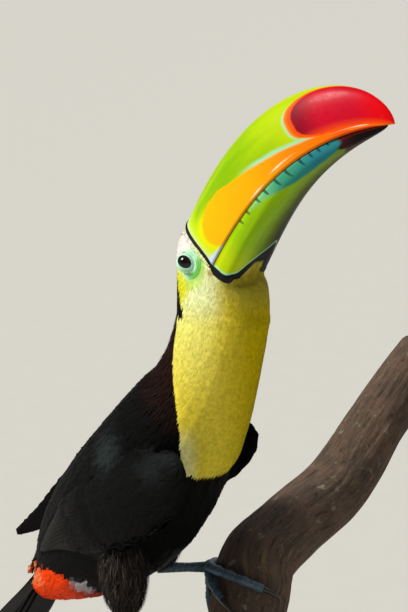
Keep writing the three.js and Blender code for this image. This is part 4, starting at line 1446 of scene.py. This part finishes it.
class TOUCAN_OT_wings(bpy.types.Operator):
    """Both folded wings: rows of coverts over the quills, which are modelled one by one"""

    bl_idname = "toucan.wings"
    bl_label = "Wings"

    def execute(self, context):
        paint = quill_paint("quill_black", "15120f")
        black = feather_paint("wing_covert_black", 0.55, 0.05)
        leaf = vane_shape(*BLUNT, blunt)
        for side in WINGS:
            bm = bmesh.new()
            for layer, quill in enumerate(QUILLS):
                self.quill(bm, side, layer, *quill)
            finished(f"wing_{side}_quill_feathers", bm, [paint], "quill_black", [f"wing_{side}_quills"])
            near = region(f"wing_{side}_quills") & (self.down_the_wing(side, shared["points"]) < 1.14)
            mask = region(f"wing_{side}_coverts") | near
            spots, solid = scattered(mask, settings("plumage").body_spacing * 1.15, 21)
            down = self.down_the_wing(side, spots)
            grow(f"wing_{side}_covert_feathers", spots, solid, leaf, black, "plumage_black", 22,
                 length=11 + 9 * down, width=2.4 + 1.4 * down, lift=1.1 + 1.0 * down, thick=0.1, spread=0.07)
        return {"FINISHED"}

    def quill(self, bm, side, layer, end, low, high):
        breadth = (WINGS[side]["above"] + WINGS[side]["below"]) * MM

        def place(t, across, out):
            along = mix(QUILL_START, end, t)
            bottom, top = wing_outline(side, along)
            half = breadth * QUILL_WIDTH * mix(1, 0.55, t)
            room = max(bottom + top - half, 0)
            offset = -bottom + half / 2 + room * mix(low, high, t) + across * half
            lift = mix(QUILL_SUNK, QUILL_RISEN + layer * QUILL_STEP, ease(along, 0.4, 0.62)) * MM
            face = wing_face(side, along, offset)
            return wing_point(side, along, offset, face + lift + out - 0.03 * across * half)

        quill_into(bm, place, 26, 0.3)

    def down_the_wing(self, side, spots):
        """How far down the coverts places lie: 0 at the bend, 1 where they end."""
        start, length, axis, _, _ = wing_frame(side)
        return np.clip((spots - start) @ axis / length / COVERTS_END, 0, 1.2)


# ------------------------------------------------------------------ tail

TAIL_PAIRS = 5
TAIL_VANE = (5.5, 9.3)  # half width of a quill, at its root and its end, in millimetres
TAIL_STEP = (1.3, 0.42)  # how much lower each pair lies than the one before, at its root and its end


def tail_point(across, out, up):
    """A place in the tail: across it, down from its root and up from its middle, in metres."""
    return (
        BILL_ROOT + TAIL_ROOT + np.array([across, 0, 0])
        + np.array([0, math.cos(TAIL_SLOPE), -math.sin(TAIL_SLOPE)]) * out
        + np.array([0, math.sin(TAIL_SLOPE), math.cos(TAIL_SLOPE)]) * up
    )


class TOUCAN_OT_tail(bpy.types.Operator):
    """Ten tail quills in pairs, the middle pair on top"""

    bl_idname = "toucan.tail"
    bl_label = "Tail"

    def execute(self, context):
        bm = bmesh.new()
        for pair in reversed(range(TAIL_PAIRS)):
            for side in (-1, 1):
                self.quill(bm, pair, side)
        finished("tail_feathers", bm, [quill_paint("tail_black", "100d0c")], "quill_black", ["tail"])
        return {"FINISHED"}

    def quill(self, bm, pair, side):
        edge = (pair + 0.35) / TAIL_PAIRS
        length = TAIL_LENGTH - TAIL_ROUNDING * (1 - math.sqrt(1 - (edge * 0.94) ** 2))

        def place(t, across, out):
            half = mix(*TAIL_HALF, ease(t, 0, 0.75))
            spread = ease(t, 0, 0.5)
            x = side * half * mix(0.3, 0.72, spread) * edge * 1.25 + across * (mix(*TAIL_VANE, spread) * MM)
            arch = -TAIL_ARCH * (x / half) ** 2 * t
            layer = (2.0 - pair) * mix(*TAIL_STEP, min(1, t * 1.6)) * MM + side * 0.12 * MM
            return tail_point(x, t * length, layer + arch + out)

        quill_into(bm, place, 34, 0.14)


# ------------------------------------------------------------------ eyes

EYE_GAZE = unit(np.array([0.42, 0.89, -0.1]))  # of the left eye, in the bill's frame
EYE_OPENING = (3.2 * MM, 4.2 * MM)  # half of it, along the head and up
LID = 0.42 * MM  # radius of the rolled lid
LID_SHARE = 0.2  # of the way out from the eye's opening to the feathers
BARE = mm((BARE_X, BARE_UP, BARE_REACH))
LID_RINGS = [  # from and to, as multiples of the eye's opening, how strong, and colour
    (0.0, 1.0, 1.0, "10120c"), (1.04, 1.3, 0.9, "c4f4e0"), (1.36, 1.46, 0.6, "74c8a0"),
    (1.5, 1.72, 0.6, "d2f6d8"), (1.78, 1.86, 0.4, "7ccf98"),
]


class TOUCAN_OT_eyes(bpy.types.Operator):
    """Eyes with pupil and iris, their lids, and the bare wrinkled skin round them"""

    bl_idname = "toucan.eyes"
    bl_label = "Eyes"

    def execute(self, context):
        wet, bare = self.wet(), self.bare_skin()
        for name, side in (("right", -1), ("left", 1)):
            bm = bmesh.new()
            axis = Vector(HEAD @ (EYE_GAZE * [1, side, 1]))
            bmesh.ops.create_uvsphere(bm, u_segments=48, v_segments=32, radius=EYE_RADIUS)
            turn = Vector((0, 0, 1)).rotation_difference(axis).to_matrix()
            bmesh.ops.rotate(bm, verts=bm.verts, matrix=turn)
            centre = Vector(from_head(EYE * [1, side, 1]))
            bmesh.ops.translate(bm, verts=bm.verts, vec=centre)
            spread = bm.verts.layers.float.new("spread")
            for vert in bm.verts:
                vert[spread] = (vert.co - centre).angle(axis)
            bmesh.ops.recalc_face_normals(bm, faces=bm.faces)
            finished(f"eyeball_{name}", bm, [wet], "eye_wet", [f"eye_{name}"])
            self.orbit(name, side, bare)
        return {"FINISHED"}

    def orbit(self, name, side, paint):
        """Bare skin from a rolled lid on the eyeball out to the feathers, in wrinkled rings."""
        phase = np.random.RandomState(31).uniform(0, 6.28, 8)
        centre = EYE * [1, side, 1]
        gaze = EYE_GAZE * [1, side, 1]
        ahead = unit(np.array([1, 0, 0]) - gaze * gaze[0])
        above = np.cross(gaze, ahead) * -side
        tree = shared["tree"]
        inward = Vector(HEAD @ np.array([0, -side, 0.0]))

        def ground(x, z):
            """How far out the skin is at a place in the side plane of the head."""
            hit = tree.ray_cast(Vector(from_head(np.array([x, side * 0.03, z]))), inward, 0.02)
            return abs(to_head(np.array(hit[0]))[1]) if hit[0] else 17 * MM

        def on_ball(radius, angle, proud):
            x, z = radius[0] * math.cos(angle), radius[1] * math.sin(angle)
            deep = math.sqrt(max(EYE_RADIUS**2 - x**2 - z**2, 0))
            return centre + ahead * x + above * z + gaze * (deep + proud)

        def place(t, s):
            """Out over the surface, and back a little way under it."""
            inside = 0.3 * MM * min(1, (1 - abs(2 * t - 1)) * 12, abs(2 * t - 1) * 12) if t > 0.5 else 0
            at = surface(1 - abs(2 * t - 1), s * 2 * math.pi)
            return Vector(from_head(at - gaze * inside))

        def surface(t, angle):
            turn = mix(-1.9, 1.2, min(t / LID_SHARE, 1))
            opening = [half + LID * (1 + math.sin(turn)) for half in EYE_OPENING]
            lid = on_ball(opening, angle, 0.08 * MM + LID * math.cos(turn))
            if t <= LID_SHARE:
                return lid
            share = (t - LID_SHARE) / (1 - LID_SHARE)
            squash = mix(1, 0.86, ease(math.sin(angle), 0.2, 0.9))
            x = mix(lid[0], BARE[0] + math.cos(angle) * BARE[2], share)
            z = mix(lid[2], BARE[1] + math.sin(angle) * BARE[2] * squash, share)
            x = min(x, -0.9 * MM)
            under = ground(x, z)
            over_ball = EYE_RADIUS**2 - (x - EYE[0]) ** 2 - (z - EYE[2]) ** 2
            if over_ball > 0:
                under = max(under, EYE[1] + math.sqrt(over_ball) + 0.1 * MM)
            y = mix(under + mix(0.45, 0.2, share) * MM, abs(lid[1]), ease(share, 0.45, 0))
            y = max(y, under + 0.1 * MM) - 0.9 * MM * ease(share, 0.9, 1)
            waver = 0.8 * math.sin(angle * 3 + phase[0]) + 0.5 * math.sin(angle * 7 + phase[1])
            wrinkle = 0.1 * math.sin(share * 24 + waver) * math.sin(math.pi * min(share * 1.15, 1)) * MM
            wrinkle += 0.06 * fbm((x * 700, z * 700, side)) * MM * (1 - share)
            return np.array([x, side * (y + wrinkle), z])

        bm = bmesh.new()
        sealed(bm, sheet_of(bm, 120, 110, place))
        mesh = mesh_of("orbit", bm)
        points = read_points(mesh)
        tint = plumage(points, np.full(len(points), FLESH.index("head")))
        away = to_head(points) - centre
        part = np.hypot(away @ ahead / EYE_OPENING[0], away @ above / EYE_OPENING[1])
        for low, high, share, text in LID_RINGS:
            ring = smooth(part, low - 0.06, low) * smooth(part, high + 0.06, high) * share
            tint = laid(tint, ring, rgb(text))
        set_values(mesh, "tint", tint, "FLOAT_COLOR")
        placed(f"orbital_skin_{name}", mesh, [paint], "face_skin")

    def wet(self):
        paint = Paint("eye_wet", roughness=0.05, specular=0.35)
        spread = paint.attribute("spread")
        iris = paint.mix(paint.step(paint.grain(900), 0.35, 0.7), "17100a", "2a1a0e")
        paint.colour = paint.mix(paint.step(spread, 0.38, 0.41), "010101", iris)
        paint.over(paint.step(spread, 0.58, 0.66), "060403")
        return paint.done()

    def bare_skin(self):
        paint = Paint("bare_face_skin", roughness=0.5, specular=0.4)
        fine = paint.grain(900, 4, 0.6)
        height = paint.sum(fine, paint.times(paint.cells(1500), 0.6))
        tint = paint.attribute("tint", "Color")
        paint.colour = paint.mix(paint.step(fine, 0.3, 0.75, (0, 0.15)), tint, "e4f4d4")
        return paint.done(bump=height, strength=0.4, distance=0.2 * MM)


# ------------------------------------------------------------------ legs and feet

SCUTES = {"toe": (3.1, 0.34), "shank": (4.2, 0.4)}  # length and height of the plates, in millimetres
SHANK_LENGTH = 46  # millimetres
TOE_PAD = 10  # length of each pad, in millimetres


def perch_radius(share):
    places, sizes = zip(*PERCH_RADII)
    return float(np.interp(share, places, sizes)) * MM


def perch_near(place):
    """The share of the perch's length nearest to a place, its middle there, and its direction."""
    share = float(perch_line.near(place)[0])
    for reach in (1 / 240, 1 / 4800):
        tried = share + np.linspace(-1, 1, 21) * reach
        share = float(tried[((perch_line.at(tried) - place) ** 2).sum(1).argmin()])
    share = min(max(share, 0), 1)
    return share, perch_line.at(share), perch_line.tangent(share)


def grip_line(palm, way_round, heading, start, end, lift):
    """A path round the perch from the palm; lift(share) is how far off the bark it stays, in millimetres."""
    share, centre, axis = perch_near(palm)
    outward = palm - centre
    outward = unit(outward - axis * (outward @ axis))
    sideways = np.cross(axis, outward)
    surface = perch_radius(share)
    points = []
    for part in np.linspace(0, 1, 9):
        out = mix(start, end, part) * MM
        radius = surface + lift(part) * MM
        angle = way_round * out * math.cos(math.radians(heading)) / (surface + lift(0) * MM)
        _, spot, _ = perch_near(centre + axis * out * math.sin(math.radians(heading)))
        points.append(spot + (outward * math.cos(angle) + sideways * math.sin(angle)) * radius)
    return Line(points)


def limb_into(bm, line, radius, along, around, from_perch):
    """Adds a limb along a line. Its section starts on the side away from the bark: radius(t, angle)."""
    frames = {}

    def place(t, angle):
        if t not in frames:
            at, tangent = line.at(t), line.tangent(t)
            top = from_perch(at)
            top = unit(top - tangent * (top @ tangent))
            frames[t] = at, top, np.cross(tangent, top)
        at, top, side = frames[t]
        return Vector(at + (top * math.cos(angle) + side * math.sin(angle)) * radius(t, angle))

    tube_into(bm, along, around, place)


def away_from_bark(place):
    _, centre, _ = perch_near(place)
    return unit(place - centre)


def scutes(along, kind):
    """The ridge of overlapping plates along a limb: rises slowly and drops at each seam."""
    each, height = SCUTES[kind]
    part = (along / each) % 1.0
    seam = 0.9 * math.exp(-((part / 0.09) ** 2)) + 0.5 * math.exp(-(((1 - part) / 0.05) ** 2))
    return height * MM * (part**1.6 - 0.5 - seam)


class TOUCAN_OT_legs(bpy.types.Operator):
    """Scaled shanks, toes with plates and pads, and claws, gripping the perch"""

    bl_idname = "toucan.legs"
    bl_label = "Legs and feet"

    def execute(self, context):
        scaly, horn = self.scaly(), self.horn()
        for side, leg in LEGS.items():
            palm = BILL_ROOT + mm(leg["palm"])
            heel = BILL_ROOT + mm(leg["heel"])
            front = unit(np.array([-0.3 if side == "right" else 0.1, -1, 0.2]))

            def size(t, angle):
                base = float(np.interp(t, [0, 0.5, 1], SHANK))
                return base * 0.97 + scutes(t * SHANK_LENGTH, "shank") * max(0.0, math.cos(angle)) ** 0.4

            bm = bmesh.new()
            limb_into(bm, Line([heel, (heel + palm) / 2, palm]), size, 90, 26, lambda at: front)
            finished(f"shank_{side}_scaled", bm, [scaly], "leg_scales", [f"shank_{side}"])
            for name, length, way, thick in TOES:
                self.toe(f"{name}_{side}", palm, length, way, thick, leg["headings"][name], scaly)
                self.claw(f"{name}_{side}", palm, length, way, thick, leg["headings"][name], horn)
        return {"FINISHED"}

    def toe(self, name, palm, length, way, thick, heading, scaly):
        lift = thick + TOE_CLEAR

        def size(t, angle):
            base = mix(thick, thick * TOE_TAPER, t) * MM
            top = max(0.0, math.cos(angle)) ** 0.5
            under = max(0.0, -math.cos(angle))
            pads = 0.5 * math.cos(2 * math.pi * t * length / TOE_PAD) * MM * (0.5 + under)
            end = math.sqrt(max(0.0, 1 - (max(t - 0.96, 0) / 0.045) ** 2)) if t > 0.96 else 1
            squeeze = 1 - 0.06 * abs(math.sin(angle))
            return (base * squeeze + pads + scutes(t * length, "toe") * top) * end

        bm = bmesh.new()
        line = grip_line(palm, way, heading, 1, length, lambda _: lift)
        limb_into(bm, line, size, int(length * 2.1), 24, away_from_bark)
        finished(f"toe_{name}_scaled", bm, [scaly], "leg_scales", [f"toe_{name}"])

    def claw(self, name, palm, length, way, thick, heading, horn):
        lift = thick + TOE_CLEAR
        line = grip_line(
            palm, way, heading, length - 1.2, length + CLAW["length"],
            lambda part: mix(lift, CLAW["tip_lift"], part**2),
        )

        def size(t, angle):
            base = CLAW["root"] * math.sqrt(max(1 - t * CLAW["taper"], 0.0)) * MM * 1.02
            keel = 1 - 0.18 * abs(math.sin(angle)) ** 1.5
            return base * keel * (1 - 0.75 * ease(t, 0.9, 1))

        bm = bmesh.new()
        limb_into(bm, line, size, 26, 16, away_from_bark)
        finished(f"claw_{name}_horn", bm, [horn], "claw_horn", [f"claw_{name}"])

    def scaly(self):
        leg = settings("perch")
        paint = Paint("leg_scales", roughness=0.5, specular=0.4)
        cells, grain = paint.cells(620), paint.grain(380, 4)
        paint.colour = paint.mix(paint.step(paint.grain(90, 2), 0.35, 0.65), leg.leg, "587080")
        paint.over(paint.step(grain, 0.35, 0.75, (0, 0.5)), "33454f")
        paint.over(paint.step(cells, 0.1, 0.0, (0, 0.65)), leg.leg_dark)
        height = paint.sum(paint.step(cells, 0.0, 0.25), grain)
        return paint.done(paint.step(grain, 0.3, 0.8, (0.42, 0.66)), height, 0.45, 0.3 * MM)

    def horn(self):
        paint = Paint("claw_horn", roughness=0.32, specular=0.5)
        streak = paint.noise(paint.place("Wrap", (2, 30, 1)), 1.0, 3)
        paint.colour = paint.mix(paint.step(streak, 0.35, 0.7), "101216", "33302c")
        return paint.done(bump=streak, strength=0.2)


# ------------------------------------------------------------------ perch and stand

class TOUCAN_OT_perch(bpy.types.Operator):
    """The branch: a crooked tube with furrowed bark, knots and sawn ends"""

    bl_idname = "toucan.perch"
    bl_label = "Perch"

    def execute(self, context):
        length = perch_line.length
        frames = {}

        def frame_at(t):
            if t not in frames:
                tangent = perch_line.tangent(t)
                first = unit(np.cross(tangent, (0, 0, 1)))
                frames[t] = perch_line.at(t), first, np.cross(first, tangent)
            return frames[t]

        def place(t, s):
            angle = s * 2 * math.pi
            centre, first, second = frame_at(t)
            way = first * math.cos(angle) + second * math.sin(angle)
            spot = Vector(centre + way * perch_radius(t))
            around = Vector((math.cos(angle) * 1.6, math.sin(angle) * 1.6, t * length * 9))
            furrow = max(0.0, 1 - abs(noise.noise(around * 2.6)) - 0.72) / 0.28
            swell = noise.noise(spot * 16) * 0.8 + noise.noise(spot * 45) * 0.5
            grain = noise.noise(Vector((math.cos(angle) * 9, math.sin(angle) * 9, t * length * 40))) * 0.35
            knots = 0.5 * math.sin(3 * angle + 9 * t) + 0.4 * math.sin(2 * angle - 23 * t)
            size = perch_radius(t) + (knots * 0.8 + swell * 0.6 + grain - 0.75 * furrow**1.5) * MM
            return Vector(centre + way * size)

        bm = bmesh.new()
        ends = welded(bm, sheet_of(bm, 330, 120, place))
        for face in ends:
            face.material_index = 1
        for face in bmesh.ops.inset_individual(bm, faces=ends, thickness=2.2 * MM, depth=0.0)["faces"]:
            face.material_index = 0
        bmesh.ops.inset_individual(bm, faces=ends, thickness=0.8 * MM, depth=0.5 * MM)
        bmesh.ops.recalc_face_normals(bm, faces=bm.faces)
        finished("perch_bark", bm, [self.bark(), self.sawn()], "branch_bark", ["perch"])
        return {"FINISHED"}

    def bark(self):
        kinds = settings("perch")
        paint = Paint("branch_bark", roughness=0.85, specular=0.25)
        place = paint.place()
        grain = paint.noise(paint.place("Wrap", (26, 46, 1)), 1.0, 8, 0.68, 0.6)
        fine = paint.noise(place, 520, 6, 0.7)
        plates = paint.noise(paint.place("Wrap", (14, 90, 1)), 1.0, 5, 0.6, 0.8)
        lichen = paint.noise(place, 120, 5, 0.6)
        paint.colour = paint.mix(paint.step(paint.noise(place, 38, 4, 0.6), 0.36, 0.64), kinds.bark, "6d5648")
        paint.over(paint.step(grain, 0.5, 0.72), kinds.bark_light)
        paint.over(paint.step(grain, 0.46, 0.3), kinds.bark_dark)
        paint.over(paint.step(plates, 0.42, 0.3, (0, 0.5)), kinds.bark_dark)
        paint.over(paint.step(lichen, 0.6, 0.72, (0, 0.5)), "b3a99a")
        paint.over(paint.step(fine, 0.3, 0.75, (0, 0.4)), "3a2d26")
        height = paint.sum(paint.times(grain, 1.4), paint.sum(fine, plates))
        return paint.done(bump=height, strength=0.75, distance=0.9 * MM)

    def sawn(self):
        paint = Paint("sawn_wood", roughness=0.75, specular=0.25)
        grain = paint.noise(paint.place(), 260, 5, 0.6)
        rings = paint.waves(paint.place(scale=(420, 420, 420)), 6.0, 3)
        paint.colour = paint.mix(paint.step(rings, 0.3, 0.8, (0, 0.6)), settings("perch").wood, "94714a")
        paint.over(paint.step(grain, 0.4, 0.75, (0, 0.5)), "6e5136")
        return paint.done(bump=paint.sum(grain, rings), strength=0.3)


class TOUCAN_OT_stand(bpy.types.Operator):
    """The lacquered base with a bevelled edge, and two steel rods that carry the perch"""

    bl_idname = "toucan.stand"
    bl_label = "Stand"

    def execute(self, context):
        self.base()
        steel = self.steel()
        for name, (x, y) in RODS.items():
            self.rod(name, x * MM, y * MM, steel)
        return {"FINISHED"}

    def base(self):
        width, depth, height = BASE_SIZE
        bm = bmesh.new()
        bmesh.ops.create_cube(bm, size=1)
        bmesh.ops.scale(bm, verts=bm.verts, vec=(width, depth, height))
        bmesh.ops.translate(bm, verts=bm.verts, vec=(0, 0, height / 2))

        def rise(edge):
            return abs(edge.verts[0].co.z - edge.verts[1].co.z)

        corners = [edge for edge in bm.edges if rise(edge) > height / 2]
        bmesh.ops.bevel(
            bm, geom=corners, offset=BASE_CORNER, segments=12, profile=0.5, affect="EDGES", material=-1
        )
        rims = [edge for edge in bm.edges if rise(edge) < 1e-6 and edge.calc_face_angle(0) > 1]
        bmesh.ops.bevel(bm, geom=rims, offset=BASE_EDGE, segments=4, profile=0.5, affect="EDGES", material=-1)
        bmesh.ops.recalc_face_normals(bm, faces=bm.faces)
        finished("stand_base_lacquered", bm, [self.lacquer()], "base_lacquer", ["stand_base"])

    def rod(self, name, x, y, steel):
        """A rod with a stepped collar where it stands on the base."""
        bm = bmesh.new()
        foot, top = BASE_SIZE[2] + 0.1 * MM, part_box(name)[1].z
        outline = [(0.0, foot), *((ROD_RADIUS + out * MM, foot + up * MM) for out, up in ROD_COLLAR),
                   (ROD_RADIUS, top), (0.0, top)]
        verts = [bm.verts.new((x + r, y, z)) for r, z in outline]
        edges = [bm.edges.new(pair) for pair in zip(verts, verts[1:])]
        bmesh.ops.spin(
            bm, geom=verts + edges, cent=(x, y, 0), axis=(0, 0, 1), angle=2 * math.pi, steps=40,
            use_merge=True,
        )
        bmesh.ops.remove_doubles(bm, verts=bm.verts, dist=1e-6)
        bmesh.ops.recalc_face_normals(bm, faces=bm.faces)
        finished(name + "_steel", bm, [steel], "rod_steel", [name])

    def lacquer(self):
        paint = Paint("base_lacquer", roughness=0.34, specular=0.5, Coat_Weight=0.3, Coat_Roughness=0.2)
        speck = paint.grain(300, 5, 0.6)
        paint.colour = paint.mix(paint.step(speck, 0.4, 0.8, (0, 0.5)), settings("perch").lacquer, "3a3a42")
        return paint.done(paint.step(paint.grain(14), 0.3, 0.7, (0.28, 0.42)), speck, 0.06)

    def steel(self):
        paint = Paint("rod_steel", roughness=0.3, specular=0.5, Metallic=1.0)
        brushed = paint.noise(paint.place(scale=(60, 60, 2400)), 1.0, 3)
        paint.colour = paint.mix(paint.step(brushed, 0.3, 0.7), "8b8d90", "b4b6b9")
        return paint.done(paint.step(brushed, 0.3, 0.7, (0.24, 0.4)), brushed, 0.08)


# ------------------------------------------------------------------ stage

CAMERA_PLACE = (-0.7682, -0.7733, 0.5296)
CAMERA_LOOK = (0.6964, 0.6964, -0.1736)
CAMERA_LENS = 111.76  # millimetres, on a 36 mm sensor along the picture's long side
MIDDLE = Vector((0, 0.02, 0.26))  # of the bird and its stand
LIGHTS = [  # name, direction from the middle, strength, how wide it looks in degrees, colour
    ("key", (-0.95, 0.52, 0.95), 3.5, 20, (1.0, 0.98, 0.92)),
    ("rim", (0.95, 0.2, 0.75), 0.9, 16, (1.0, 1.0, 1.0)),
]
SKY = {"Color": (0.72, 0.74, 0.76, 1), "Strength": 0.28}


class TOUCAN_OT_stage(bpy.types.Operator):
    """A plain pale floor, soft studio lights and the camera"""

    bl_idname = "toucan.stage"
    bl_label = "Stage"

    def execute(self, context):
        self.added("floor", self.floor())
        for name, way, strength, wide, tone in LIGHTS:
            light = bpy.data.lights.new(name, "SUN")
            light.energy, light.angle, light.color = strength, math.radians(wide), tone
            way = Vector(way)
            self.added(name, light, MIDDLE + way.normalized() * settings("stage").distance, way, "Z")
        world = bpy.data.worlds.new("studio")
        world.use_nodes = True
        for socket, value in SKY.items():
            world.node_tree.nodes["Background"].inputs[socket].default_value = value
        context.scene.world = world
        context.scene.view_settings.view_transform = "Standard"
        camera = bpy.data.cameras.new("camera")
        camera.lens, camera.sensor_width = CAMERA_LENS, 36
        camera.clip_start, camera.clip_end = 0.05, 200
        context.scene.camera = self.added("camera", camera, CAMERA_PLACE, Vector(CAMERA_LOOK), "-Z")
        return {"FINISHED"}

    def added(self, name, data, place=(0, 0, 0), way=None, axis="Z"):
        """A new object; with way, its axis points along it."""
        piece = bpy.data.objects.new(name, data)
        piece.location = place
        if way:
            piece.rotation_mode = "QUATERNION"
            piece.rotation_quaternion = way.to_track_quat(axis, "Y")
        bpy.context.scene.collection.objects.link(piece)
        return piece

    def floor(self):
        bm = bmesh.new()
        bmesh.ops.create_grid(bm, x_segments=8, y_segments=8, size=60)
        mesh = mesh_of("floor", bm)
        paint = Paint("floor", roughness=0.9, specular=0.2)
        speck = paint.step(paint.grain(30), 0.3, 0.7, (0, 0.1))
        paint.colour = paint.mix(speck, settings("stage").floor, "c2c0ba")
        mesh.materials.append(paint.done())
        return mesh


# ------------------------------------------------------------------ add-on

GROUPS = {
    "bill": ToucanBillSettings, "plumage": ToucanPlumageSettings, "perch": ToucanPerchSettings,
    "stage": ToucanStageSettings,
}
OPERATORS = [
    TOUCAN_OT_skin, TOUCAN_OT_bill, TOUCAN_OT_eyes, TOUCAN_OT_coat, TOUCAN_OT_wings, TOUCAN_OT_tail,
    TOUCAN_OT_legs, TOUCAN_OT_perch, TOUCAN_OT_stand, TOUCAN_OT_stage,
]


class TOUCAN_PT_panel(bpy.types.Panel):
    """The steps that build the toucan, and their sizes and colours"""

    bl_idname = "TOUCAN_PT_panel"
    bl_label = "Toucan"
    bl_space_type = "VIEW_3D"
    bl_region_type = "UI"
    bl_category = "Toucan"

    def draw(self, context):
        for operator in OPERATORS:
            self.layout.operator(operator.bl_idname)
        for name, group in GROUPS.items():
            box = self.layout.box()
            box.label(text=name.capitalize())
            for field in group.__annotations__:
                box.prop(getattr(context.scene, "toucan_" + name), field)


def register():
    for group in (*GROUPS.values(), *OPERATORS, TOUCAN_PT_panel):
        bpy.utils.register_class(group)
    for name, group in GROUPS.items():
        setattr(bpy.types.Scene, "toucan_" + name, bpy.props.PointerProperty(type=group))


def unregister():
    for name in GROUPS:
        delattr(bpy.types.Scene, "toucan_" + name)
    for group in (TOUCAN_PT_panel, *reversed(OPERATORS), *reversed(GROUPS.values())):
        bpy.utils.unregister_class(group)


def main():
    register()
    for operator in OPERATORS:
        space, name = operator.bl_idname.split(".")
        getattr(getattr(bpy.ops, space), name)()


if __name__ == "__main__":
    main()
